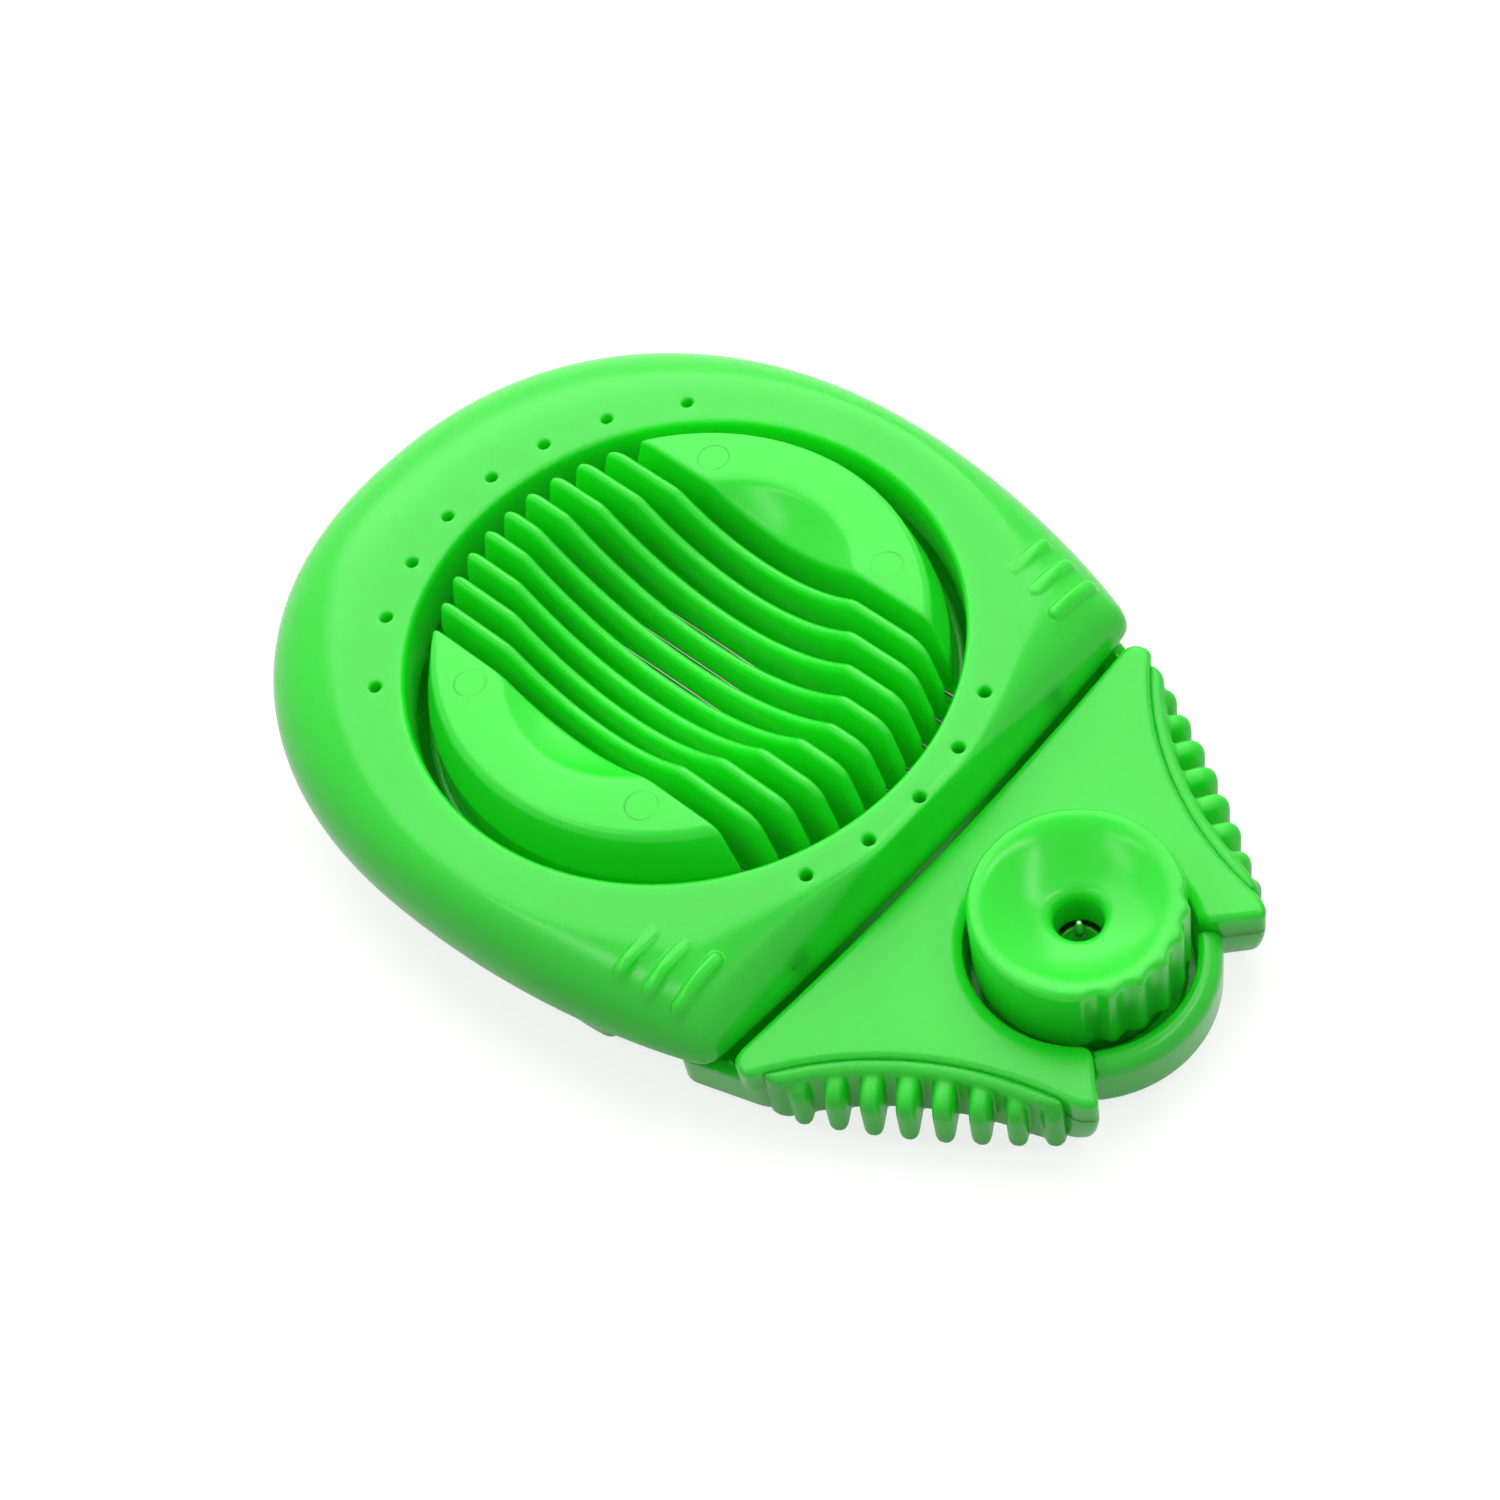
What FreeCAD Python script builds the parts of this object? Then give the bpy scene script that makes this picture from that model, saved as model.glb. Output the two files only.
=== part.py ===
"""Egg slicer with a hinged wire frame, a slatted cradle and a sprung egg piercer.

Millimetres. +X points at the piercer's nose, +Z up, and the object is symmetric about the plane Y = 0.
The origin is the middle of the resting face. Every piece is one solid in its own file.
"""
import FreeCAD, Part
import math
import os

# Levels above the table
BASE_Z = 2.0            # lower edge of the base
FLOOR_T = 2.0
RIM_Z = 9.6             # top of the base's open rim under the frame
COVER_Z = 12.5          # top of the rear cover
COVER_LIP_Z = 8.4       # lower edge of the rear cover's side band
SKIRT_Z = 11.3          # lower edge of the wire frame
RING_Z = 20.9           # flat top of the wire frame
SHOULDER_Z = 24.0       # top of the slats and of the end blocks
WIRE_Z = 12.3           # plane of the cutting wires

# Clearances
GAP = 0.3               # between pieces that move past each other
SEAT = 0.1              # between pieces that are pushed together
MERGE = 0.5             # how far one feature runs into the next so that they join
BEYOND = 100.0          # further than any piece reaches
RUNNING = 0.05          # radial play of a pin in its bore
PANEL_GAP = 0.9         # between the frame's straight edge and the cover

# Plan of the wire frame: an egg curve about its own centre
RING_X = -10.8          # centre of the round opening
OPENING_R = 36.7
EGG_X = -15.0
EGG_REAR = 56.1         # from the egg centre to the wide end
EGG_FRONT = 81.7        # semi-axis that shapes the tapering sides
EGG_HALF = 48.7         # half of the greatest width
EGG_POWER = 2.2         # a little squarer than an ellipse at the wide end
FRONT_X = 31.9          # hinge-side edge of the frame on the centre line
FRONT_BOW = 2.1         # how far that edge would fall back at the greatest width
CORNER_POWER = 44       # a higher power gives a tighter corner
CREST_R = OPENING_R + 5.5        # outside of the flat band round the opening
CREST_SETBACK = 1.15    # from the flat band to the hinge-side edge
DOME_DROP = 8.2         # height of the rounded skirt
FRAME_WALL = 1.6
COLLAR_T = 1.5          # wall that hangs down round the opening
GRIP_BARS = ((16.9, 33.5, 41.3), (21.1, 32.5, 40.0), (25.2, 31.4, 38.8))   # x, then y from and to
BAR_W = 2.1
BAR_RISE = 0.8

# Wires, posts and holes
SLAT_PITCH = 4.0
SLAT_T = 1.5
WIRE_R = 0.25
POST_R = 1.7
POST_CIRCLE_R = OPENING_R + 1.7
HOLE_CIRCLE_R = OPENING_R + 3.8
HOLE_R = 1.0
WIDE_HOLE_ANGLES = (6.0, 18.3, 31.6, 47.7)
HINGE_HOLE_ANGLES = (0.0, 12.0, 24.5)
CLAMP_R = OPENING_R + 5.3
CLAMP_Z = 12.9
CLAMP_T = 1.5
POST_DROP = 1.0         # how far the posts stand below the clamp ring

# Hinge between frame and base
HINGE_X = FRONT_X - 1.6
HINGE_Z = 14.4
HINGE_Y = 24.0          # middle of each lug
LUG_W = 2.4
LUG_R = 1.05
PIN_R = 0.55
EAR_R = 1.6
KNUCKLE_W = 3.0
PIN_HALF = 4.8          # half-length of a hinge pin
PIN_BORE_HALF = 5.2

# Egg cradle
CRADLE_R = OPENING_R - 4.4       # slat ends at the shoulder
CRADLE_FOOT_R = OPENING_R - 2.3  # slat ends at mid height
CRADLE_DRAFT_Z = 17.0
CRADLE_PLATE_R = OPENING_R - 0.7
CRADLE_PLATE_Z = 10.2
CRADLE_PLATE_T = 2.2
VALLEY_X = -10.6        # middle of the egg's seat
VALLEY_HALF = 28.9      # half-length of the seat, less the fall-off below
VALLEY_FALL = 0.82      # half-length lost per millimetre off the centre line
VALLEY_BLUNT = 3.4
VALLEY_DEPTHS = (8.6, 8.6, 7.3, 6.2, 4.7)      # from the middle slat outwards
SLATS_EACH_SIDE = len(VALLEY_DEPTHS) - 1
BLOCK_Y = SLATS_EACH_SIDE * SLAT_PITCH + 3.5   # inner faces of the two end blocks
DISH_R = 28.1
DISH_Y = 8.4
DISH_RISE = 22.3
CRADLE_BOSS_R = 3.2

# Base under the frame
PAN_INSET = 6.9         # base wall inside the frame's outline at the wide end
PAN_FLARE_INSET = 2.9   # and beside the finger notches
PAN_END_ANGLE = 124.0
PAN_STEPS = 10
NECK_HALF = 0.77 * EGG_HALF      # half-width of the base between the two finger notches
LEDGE = ((22.5, NECK_HALF + 1.1), (25.0, NECK_HALF + 3.5), (34.6, NECK_HALF + 0.4))

# Rear body
COVER_FRONT_X = FRONT_X + PANEL_GAP
COVER_HALF = 0.8 * EGG_HALF      # half-width of the cover at its front corners
COVER_CORNER = 2.2      # size of those rounded corners
FLANK_START = (COVER_FRONT_X + 3.0, COVER_HALF - 1.4)
FLANK_END = (68.2, 17.7)
FLANK_SAG = 4.0
TAIL_ANGLE = 45.7       # end faces of the tails, seen from the piercer's axis
KNOB_X = 54.05
KNOB_R = 13.15
RECESS_R = KNOB_R + 0.55
RECESS_BEVEL = 0.7
RECESS_WALL = 1.4
NOSE_R = RECESS_R + 3.25
NOSE_Z = 10.4
NOSE_CLEAR = 0.6        # degrees between the nose and the tails' end faces
TAIL_OUT_R = RECESS_R + 8.7
TRAY_TAIL_R = TAIL_OUT_R - 1.2   # the base's tails stop a little short of the cover's
WALL = 2.0
COVER_T = 2.0
COVER_BOSS_R = 2.6

# Piercer
KNOB_TOP_Z = 21.2
KNOB_SKIRT_Z = 9.4
KNOB_WALL = 1.6
DISH_RIM_R = KNOB_R - 1.3
DISH_DEPTH = 3.8
KNOB_ROOF_T = 1.8
KNOB_HOLE_R = 3.0
KNOB_TUBE_R = KNOB_HOLE_R + 1.4
KNOB_TRAVEL = 4.0
KNOB_EDGE = 0.5         # bevel round the rim
DISH_BANDS = 3
FLUTES = 6
FLUTE_R = 1.25
FLUTE_STEP = 17.0       # degrees between flutes
NEEDLE_R = 0.65
NEEDLE_TIP_Z = 16.2
NEEDLE_POINT = 1.6      # length of the needle's taper
NEEDLE_SET = 2.0        # the needle's foot stands this far up inside its holder
HOLDER_R = 2.4
HOLDER_STUB_R = 1.6
HOLDER_TOP_Z = 11.0
COLLAR_OUT_R = KNOB_R - KNOB_WALL - 0.55
COLLAR_IN_R = COLLAR_OUT_R - 1.6
COLLAR_TOP_Z = 11.3
COLLAR_FLOOR_T = 1.0
KEY_H = 1.2
KEY_W = 2.4
KEY_ANGLES = (90, 210, 330)
SPRING_R = KNOB_TUBE_R + 1.7
SPRING_WIRE_R = 0.4
SPRING_TURNS = 5
SPRING_SIDES = 10

# Grips
GRIP_RIBS = 8
GRIP_PITCH = 4.32
GRIP_FIRST = 4.4
GRIP_RIB_W = 2.5
GRIP_LIP = 1.6          # the lip's outer edge, from the flank
GRIP_END = 0.5          # the same where the lip ends at the tail
GRIP_REACH = 2.0        # the ribs' outer line, from the flank's chord
GRIP_REACH_FALL = 0.0035
GRIP_REACH_AT = 15.5
GRIP_TOP_Z = 12.1
GRIP_BOTTOM_Z = 2.6
GRIP_SHOULDER = 0.9     # the ribs start this far below the lip's top
GRIP_BULGE = 2.6        # radius of the ribs' rounded shoulders
GRIP_EDGE = 0.5         # bevel at the ribs' feet

# Fasteners and feet
SCREW_R = 1.2
SCREW_HEAD_R = 2.4
SCREW_HEAD_H = 1.1
FOOT_R = 4.5
FOOT_SEAT = 0.8         # depth of the feet's sockets
FOOT_SPOTS = {"rear_left": (-48.0, -22.0), "rear_right": (-48.0, 22.0),
              "front_left": (40.0, -24.0), "front_right": (40.0, 24.0)}
CRADLE_SCREW_SPOTS = ((-34.0, -14.0), (-34.0, 14.0), (12.4, -14.0), (12.4, 14.0))
COVER_SCREW_SPOTS = ((36.6, -30.8), (36.6, 30.8), (63.4, -15.0), (63.4, 15.0))


def vec(x, y, z=0.0):
    return FreeCAD.Vector(x, y, z)


def cylinder(radius, z0, z1, x=0.0, y=0.0):
    return Part.makeCylinder(radius, z1 - z0, vec(x, y, z0))


def tube(inner, outer, z0, z1, x=0.0, y=0.0):
    return cylinder(outer, z0, z1, x, y).cut(cylinder(inner, z0 - 1, z1 + 1, x, y))


def block(x0, x1, y0, y1, z0, z1):
    return Part.makeBox(x1 - x0, y1 - y0, z1 - z0, vec(x0, y0, z0))


def rod_y(radius, x, z, y0, y1):
    return Part.makeCylinder(radius, y1 - y0, vec(x, y0, z), vec(0, 1, 0))


def fuse_all(shapes):
    return shapes[0].multiFuse(shapes[1:]).removeSplitter()


def mirror_y(shape):
    return shape.mirror(vec(0, 0, 0), vec(0, 1, 0))


def smooth_min(a, b, power):
    return (a ** -power + b ** -power) ** (-1.0 / power)


# ---------------------------------------------------------------- wire frame

def egg_radius(angle):
    """Distance from the egg centre to the untrimmed egg curve."""
    across = abs(math.sin(angle)) / EGG_HALF
    along = abs(math.cos(angle))
    if math.cos(angle) < 0:
        return ((along / EGG_REAR) ** EGG_POWER + across ** EGG_POWER) ** (-1 / EGG_POWER)
    return 1 / math.hypot(along / EGG_FRONT, across)


def front_edge_x(y, front):
    """The hinge-side edge, slightly bowed towards the nose."""
    return front - FRONT_BOW * (y / EGG_HALF) ** 2


def front_radius(angle, front):
    """Distance from the egg centre to the hinge-side edge."""
    if math.cos(angle) < 0.3:
        return 1e6
    y = min(abs((front - EGG_X) * math.tan(angle)), EGG_HALF)
    return (front_edge_x(y, front) - EGG_X) / math.cos(angle)


def outline_point(angle, inset, z):
    edge = smooth_min(egg_radius(angle) - inset, front_radius(angle, FRONT_X - inset), CORNER_POWER)
    return vec(EGG_X + edge * math.cos(angle), edge * math.sin(angle), z)


def crest_point(angle, inset, z):
    shift = RING_X - EGG_X
    sine = math.sin(angle)
    circle = shift * math.cos(angle) + math.sqrt((CREST_R - inset) ** 2 - (shift * sine) ** 2)
    edge = smooth_min(circle, front_radius(angle, FRONT_X - CREST_SETBACK - inset), CORNER_POWER)
    return vec(EGG_X + edge * math.cos(angle), edge * sine, z)


def section_angles():
    front = [0, 12, 24]
    corner = [32, 36, 38.5, 40.5, 42, 43.5, 45.5, 49]
    side = [55, 65] + list(range(80, 180, 15))
    half = front + corner + side
    degrees = half + [180] + [360 - a for a in reversed(half[1:])]
    return [math.radians(a) for a in degrees]


def closed_curve(points, angles):
    curve = Part.BSplineCurve()
    curve.interpolate(Points=points, PeriodicFlag=True, Parameters=angles + [angles[0] + 2 * math.pi])
    return Part.Wire(curve.toShape())


def dome(inset, top_z, bottom_z, turns):
    """Solid under the frame's top: flat inside the crest, a quarter ellipse in section outside it."""
    angles = section_angles()
    sections = []
    for turn in turns:
        share = math.sin(math.radians(turn))
        z = top_z - DOME_DROP * (1 - math.cos(math.radians(turn)))
        points = []
        for angle in angles:
            inner = crest_point(angle, inset, z)
            outer = outline_point(angle, inset, z)
            points.append(inner + (outer - inner) * share)
        sections.append(closed_curve(points, angles))
    foot = [outline_point(angle, inset, bottom_z) for angle in angles]
    sections.append(closed_curve(foot, angles))
    return Part.makeLoft(sections, True, True)


def faceted_dome(inset, top_z, bottom_z, turns):
    """The same form in flat facets, for the hidden inside of the frame."""
    sections = []
    for turn in turns:
        share = math.sin(math.radians(turn))
        z = top_z - DOME_DROP * (1 - math.cos(math.radians(turn)))
        sections.append([(angle, share, z) for angle in section_angles()])
    sections.append([(angle, 1.0, bottom_z) for angle, share, z in sections[-1]])
    wires = []
    for section in sections:
        points = []
        for angle, share, z in section:
            inner = crest_point(angle, inset, z)
            points.append(inner + (outline_point(angle, inset, z) - inner) * share)
        wires.append(Part.makePolygon(points + [points[0]]))
    return Part.makeLoft(wires, True, True)


def grip_bars():
    """Three low ribs on each side of the frame, beside the hinge, that follow the slope of its side."""
    raised = faceted_dome(-BAR_RISE, RING_Z, SKIRT_Z, (0, 20, 40, 60, 75, 90))
    bars = []
    for x, y0, y1 in GRIP_BARS:
        for side in (-1, 1):
            low, high = sorted((side * y0, side * y1))
            bar = block(x - BAR_W / 2, x + BAR_W / 2, low, high, SKIRT_Z, RING_Z)
            ends = [cylinder(BAR_W / 2, SKIRT_Z, RING_Z, x, side * y) for y in (y0, y1)]
            bars.append(bar.multiFuse(ends).common(raised))
    return bars


def hole_spots(radius):
    """Places on a circle about the opening for every hole angle, both sides."""
    spots = []
    for angle in WIDE_HOLE_ANGLES:
        for side in (-1, 1):
            turn = math.radians(180 - side * angle)
            spots.append((RING_X + radius * math.cos(turn), radius * math.sin(turn)))
    for angle in HINGE_HOLE_ANGLES:
        for side in ((1,) if angle == 0 else (-1, 1)):
            turn = math.radians(side * angle)
            spots.append((RING_X + radius * math.cos(turn), radius * math.sin(turn)))
    return spots


def wire_frame():
    shell = dome(0, RING_Z, SKIRT_Z, (0, 15, 30, 45, 60, 75, 90))
    hollow = faceted_dome(FRAME_WALL, RING_Z - FRAME_WALL, SKIRT_Z - 1, (0, 50, 90))
    hollow = hollow.cut(cylinder(OPENING_R + COLLAR_T, 0, RING_Z, RING_X))
    body = shell.cut(hollow)
    body = body.cut(cylinder(OPENING_R, 0, RING_Z + 1, RING_X))
    body = body.cut(tube(OPENING_R - 1, OPENING_R + COLLAR_T, 0, CLAMP_Z + SEAT, RING_X))
    knuckles = []
    for side in (-1, 1):
        for outer in (-1, 1):
            middle = side * HINGE_Y + outer * (LUG_W + KNUCKLE_W + 2 * GAP) / 2
            y0 = middle - KNUCKLE_W / 2
            y1 = middle + KNUCKLE_W / 2
            knuckles.append(rod_y(EAR_R, HINGE_X, HINGE_Z, y0, y1))
    inside = faceted_dome(FRAME_WALL / 4, RING_Z - FRAME_WALL, SKIRT_Z - 1, (0, 50, 90))
    body = body.multiFuse([k.common(inside) for k in knuckles] + grip_bars())
    for side in (-1, 1):
        half = LUG_W / 2 + GAP
        y = side * HINGE_Y
        body = body.cut(rod_y(LUG_R + GAP, HINGE_X, HINGE_Z, y - half, y + half))
        body = body.cut(block(HINGE_X - EAR_R - 1, FRONT_X + 1, y - half, y + half,
                              SKIRT_Z - 1, HINGE_Z + LUG_R + GAP))
        body = body.cut(rod_y(PIN_R, HINGE_X, HINGE_Z, y - PIN_BORE_HALF, y + PIN_BORE_HALF))
    holes = [cylinder(HOLE_R, SKIRT_Z, RING_Z + 1, x, y) for x, y in hole_spots(HOLE_CIRCLE_R)]
    return body.cut(Part.makeCompound(holes)).removeSplitter()


def peg(x, y, z0, z1):
    """Six-sided peg for the wire to turn round."""
    corners = [vec(x + POST_R * math.cos(math.radians(a)), y + POST_R * math.sin(math.radians(a)), z0)
               for a in range(0, 361, 60)]
    return Part.Face(Part.makePolygon(corners)).extrude(vec(0, 0, z1 - z0))


def wire_clamp_ring():
    """Flat ring pressed over the opening's collar, with a peg under each hole of the frame."""
    ring = tube(OPENING_R + COLLAR_T + SEAT, CLAMP_R, CLAMP_Z, CLAMP_Z + CLAMP_T, RING_X)
    ring = ring.common(block(-BEYOND, FRONT_X - FRAME_WALL - 0.6, -BEYOND, BEYOND, 0, RING_Z))
    pegs = [peg(x, y, CLAMP_Z - POST_DROP, CLAMP_Z + MERGE) for x, y in post_spots()]
    collar = cylinder(OPENING_R + COLLAR_T + SEAT, CLAMP_Z, RING_Z, RING_X)
    return fuse_all([ring] + pegs).cut(collar)


def post_x(y, side):
    return RING_X + side * math.sqrt(POST_CIRCLE_R ** 2 - y * y)


def end_post_y():
    """The last posts stand in line with the outermost holes."""
    return POST_CIRCLE_R * math.sin(math.radians(WIDE_HOLE_ANGLES[-1]))


def post_spots():
    """Posts that the wire turns round: between neighbouring wires, and two anchors at each end."""
    spots = []
    for k in range(-2, 3):
        spots.append((post_x(2 * k * SLAT_PITCH, 1), 2 * k * SLAT_PITCH))
    for k in (-5, -3, -1, 1, 3, 5):
        spots.append((post_x(k * SLAT_PITCH, -1), k * SLAT_PITCH))
    end = end_post_y()
    return spots + [(post_x(end, -1), -end), (post_x(end, -1), end)]


def hexagon(radius):
    """Six-sided section about the local X axis, used where a wire's true circle would be needlessly heavy."""
    turns = [math.radians(60 * i) for i in range(7)]
    return Part.makePolygon([vec(0, radius * math.cos(t), radius * math.sin(t)) for t in turns])


def facing(direction):
    return FreeCAD.Rotation(vec(1, 0, 0), direction)


def arc_edge(centre, radius, start, middle, end):
    points = []
    for angle in (start, middle, end):
        points.append(vec(centre[0] + radius * math.cos(angle), centre[1] + radius * math.sin(angle), WIRE_Z))
    return Part.Arc(*points).toShape(), points[0], points[2]


def cutting_wire():
    """One wire laced to and fro round the posts, with a half turn on the last post at each end."""
    turn_r = SLAT_PITCH / 2
    last = (post_x(end_post_y(), -1), -end_post_y())
    anchor = (post_x(5 * SLAT_PITCH, -1), -5 * SLAT_PITCH)
    lean = math.atan2(last[1] - anchor[1], last[0] - anchor[0]) - math.pi / 2
    half = math.pi / 2
    arcs = [arc_edge(last, turn_r, lean + 1.6, lean + 0.8, lean),
            arc_edge(anchor, turn_r, lean, (lean - 3 * half) / 2, -3 * half)]
    for i in range(-SLATS_EACH_SIDE, SLATS_EACH_SIDE + 1):
        y = i * SLAT_PITCH
        if i % 2 == 0:
            arcs.append(arc_edge((post_x(y, 1), y), turn_r, -half, 0, half))
        else:
            arcs.append(arc_edge((post_x(y, -1), y), turn_r, -half, -2 * half, -3 * half))
    arcs.append(arc_edge((anchor[0], -anchor[1]), turn_r, 3 * half, (3 * half - lean) / 2, -lean))
    arcs.append(arc_edge((last[0], -last[1]), turn_r, -lean, -lean - 0.8, -lean - 1.6))
    edges = []
    for i, (edge, start, end) in enumerate(arcs):
        if i:
            edges.append(Part.LineSegment(arcs[i - 1][2], start).toShape())
        edges.append(edge)
    path = Part.Wire(edges)
    section = hexagon(WIRE_R)
    section.Placement = FreeCAD.Placement(arcs[0][1], facing(edges[0].tangentAt(edges[0].FirstParameter)))
    return path.makePipeShell([section], True, True)


def hinge_pin(side):
    return rod_y(PIN_R, HINGE_X, HINGE_Z, side * HINGE_Y - PIN_HALF, side * HINGE_Y + PIN_HALF)


# ---------------------------------------------------------------- cradle

def cradle_envelope():
    """Round body that the slats and blocks fill: upright below, drawn in towards the top."""
    upper = Part.makeCone(CRADLE_FOOT_R, CRADLE_R, SHOULDER_Z - CRADLE_DRAFT_Z,
                          vec(RING_X, 0, CRADLE_DRAFT_Z))
    lower = cylinder(CRADLE_FOOT_R, CRADLE_PLATE_Z - 1, CRADLE_DRAFT_Z, RING_X)
    return upper.fuse(lower).removeSplitter()


def valley_half(y):
    return VALLEY_HALF - VALLEY_FALL * math.hypot(y, VALLEY_BLUNT)


def slat(k):
    """One slat: a plate with the egg's seat scooped out of its top edge by an arc."""
    y = k * SLAT_PITCH
    half = valley_half(y)
    depth = VALLEY_DEPTHS[abs(k)]
    left = VALLEY_X - half
    right = VALLEY_X + half
    top = SHOULDER_Z
    foot = CRADLE_PLATE_Z - MERGE
    arc = Part.Arc(vec(left, 0, top), vec(VALLEY_X, 0, top - depth), vec(right, 0, top)).toShape()
    corners = [vec(right, 0, top), vec(BEYOND, 0, top), vec(BEYOND, 0, foot),
               vec(-BEYOND, 0, foot), vec(-BEYOND, 0, top), vec(left, 0, top)]
    edges = [arc] + Part.makePolygon(corners).Edges
    face = Part.Face(Part.Wire(edges))
    plate = face.extrude(vec(0, SLAT_T, 0))
    plate.translate(vec(0, y - SLAT_T / 2, 0))
    return plate


def end_block():
    """Crescent block beside the slats, with a round dish that carries the egg's flank."""
    body = block(-BEYOND, BEYOND, BLOCK_Y, BEYOND, CRADLE_PLATE_Z - MERGE, SHOULDER_Z)
    scoop = Part.makeSphere(DISH_R, vec(VALLEY_X, DISH_Y, SHOULDER_Z + DISH_RISE))
    return body.cut(scoop)


def egg_cradle():
    slats = [slat(k) for k in range(-SLATS_EACH_SIDE, SLATS_EACH_SIDE + 1)]
    blocks = [end_block(), mirror_y(end_block())]
    envelope = cradle_envelope()
    uprights = [s.common(envelope) for s in slats + blocks]
    plate = cylinder(CRADLE_PLATE_R, CRADLE_PLATE_Z - CRADLE_PLATE_T, CRADLE_PLATE_Z, RING_X)
    bosses = [cylinder(CRADLE_BOSS_R, BASE_Z + FLOOR_T, CRADLE_PLATE_Z - 1, x, y)
              for x, y in CRADLE_SCREW_SPOTS]
    body = fuse_all([plate] + bosses + uprights)
    bores = [cylinder(SCREW_R, BASE_Z, CRADLE_PLATE_Z - 1.2, x, y) for x, y in CRADLE_SCREW_SPOTS]
    return body.cut(Part.makeCompound(bores))


# ---------------------------------------------------------------- base

def pan_draw_in(angle):
    """How far the base stands inside the frame's outline: least beside the finger notches."""
    turn = abs(math.degrees(angle) - 180)
    near = min(1.0, max(0.0, (turn - 92) / 32))
    return PAN_INSET - (PAN_INSET - PAN_FLARE_INSET) * near * near * (3 - 2 * near)


def base_pan(inset, z0, z1):
    """Front part of the base, hidden under the frame, drawn in from the frame's outline."""
    sections = []
    for z in (z0, z1):
        points = []
        for step in range(-PAN_STEPS, PAN_STEPS + 1):
            angle = math.pi + math.radians(PAN_END_ANGLE) * step / PAN_STEPS
            edge = egg_radius(angle) - pan_draw_in(angle) - inset
            points.append(vec(EGG_X + edge * math.cos(angle), edge * math.sin(angle), z))
        curve = Part.BSplineCurve()
        curve.interpolate(points)
        closing = Part.LineSegment(points[-1], points[0]).toShape()
        sections.append(Part.Wire([curve.toShape(), closing]))
    return Part.makeLoft(sections, True, True)


def flank_normal():
    dx = FLANK_END[0] - FLANK_START[0]
    dy = FLANK_END[1] - FLANK_START[1]
    length = math.hypot(dx, dy)
    return (-dy / length, dx / length)


def flank_points(offset):
    """Start, middle and end of the concave flank, moved outwards by an offset."""
    nx, ny = flank_normal()
    middle = ((FLANK_START[0] + FLANK_END[0]) / 2 - nx * FLANK_SAG,
              (FLANK_START[1] + FLANK_END[1]) / 2 - ny * FLANK_SAG)
    return [(x + nx * offset, y + ny * offset) for x, y in (FLANK_START, middle, FLANK_END)]


def on_knob_circle(radius, degrees):
    angle = math.radians(degrees)
    return (KNOB_X + radius * math.cos(angle), radius * math.sin(angle))


def rear_solid(front_points, front_edge, tail_r, inset, z0, z1):
    """Body between the frame and the tails, with hollow flanks and end faces that point at the knob."""
    end_angle = TAIL_ANGLE - math.degrees(inset / TAIL_OUT_R)
    tail = on_knob_circle(tail_r - inset, end_angle)
    root = on_knob_circle(RECESS_R / 2, end_angle)
    flank = flank_points(-inset)
    edges = [front_edge, Part.LineSegment(vec(root[0], root[1], z0), vec(root[0], -root[1], z0)).toShape()]
    for side in (1, -1):
        front = [vec(x, side * y, z0) for x, y in front_points]
        start, middle, end = [vec(x, side * y, z0) for x, y in flank]
        edges += Part.makePolygon(front + [start]).Edges
        edges.append(Part.Arc(start, middle, end).toShape())
        edges += Part.makePolygon([end] + [vec(x, side * y, z0) for x, y in (tail, root)]).Edges
    outline = Part.Wire(Part.__sortEdges__(edges))
    return Part.Face(outline).extrude(vec(0, 0, z1 - z0))


def cover_solid(inset, z0, z1):
    corner_y = COVER_HALF - COVER_CORNER - inset
    corner_x = front_edge_x(corner_y, COVER_FRONT_X + inset)
    front = Part.Arc(vec(corner_x, -corner_y, z0), vec(COVER_FRONT_X + inset, 0, z0),
                     vec(corner_x, corner_y, z0)).toShape()
    cut = COVER_CORNER * 0.3
    points = [(corner_x, corner_y), (corner_x + cut, COVER_HALF - cut - inset),
              (corner_x + COVER_CORNER, COVER_HALF - inset)]
    return rear_solid(points, front, TAIL_OUT_R, inset, z0, z1)


def rear_cover():
    body = cover_solid(SEAT, COVER_LIP_Z, COVER_Z)
    inner = cover_solid(COVER_T, COVER_LIP_Z - 1, COVER_Z - COVER_T)
    body = body.cut(inner.cut(cylinder(RECESS_R + RECESS_WALL, 0, COVER_Z, KNOB_X)))
    bosses = [cylinder(COVER_BOSS_R, COVER_LIP_Z, COVER_Z - 1, x, y) for x, y in COVER_SCREW_SPOTS]
    bevel = Part.makeCone(RECESS_R, RECESS_R + RECESS_BEVEL, RECESS_BEVEL,
                          vec(KNOB_X, 0, COVER_Z - RECESS_BEVEL))
    cuts = [cylinder(RECESS_R, 0, BEYOND, KNOB_X), bevel]
    cuts += [cylinder(SCREW_R, 0, COVER_Z - 1.4, x, y) for x, y in COVER_SCREW_SPOTS]
    return body.multiFuse(bosses).cut(Part.makeCompound(cuts)).removeSplitter()


def tray_solid(inset, z0, z1):
    start = (LEDGE[0][0] + inset, LEDGE[0][1] - inset)
    points = [start] + [(x, y - inset) for x, y in LEDGE[1:]]
    front = Part.LineSegment(vec(start[0], -start[1], z0), vec(start[0], start[1], z0)).toShape()
    return rear_solid(points, front, TRAY_TAIL_R, inset, z0, z1)


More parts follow.
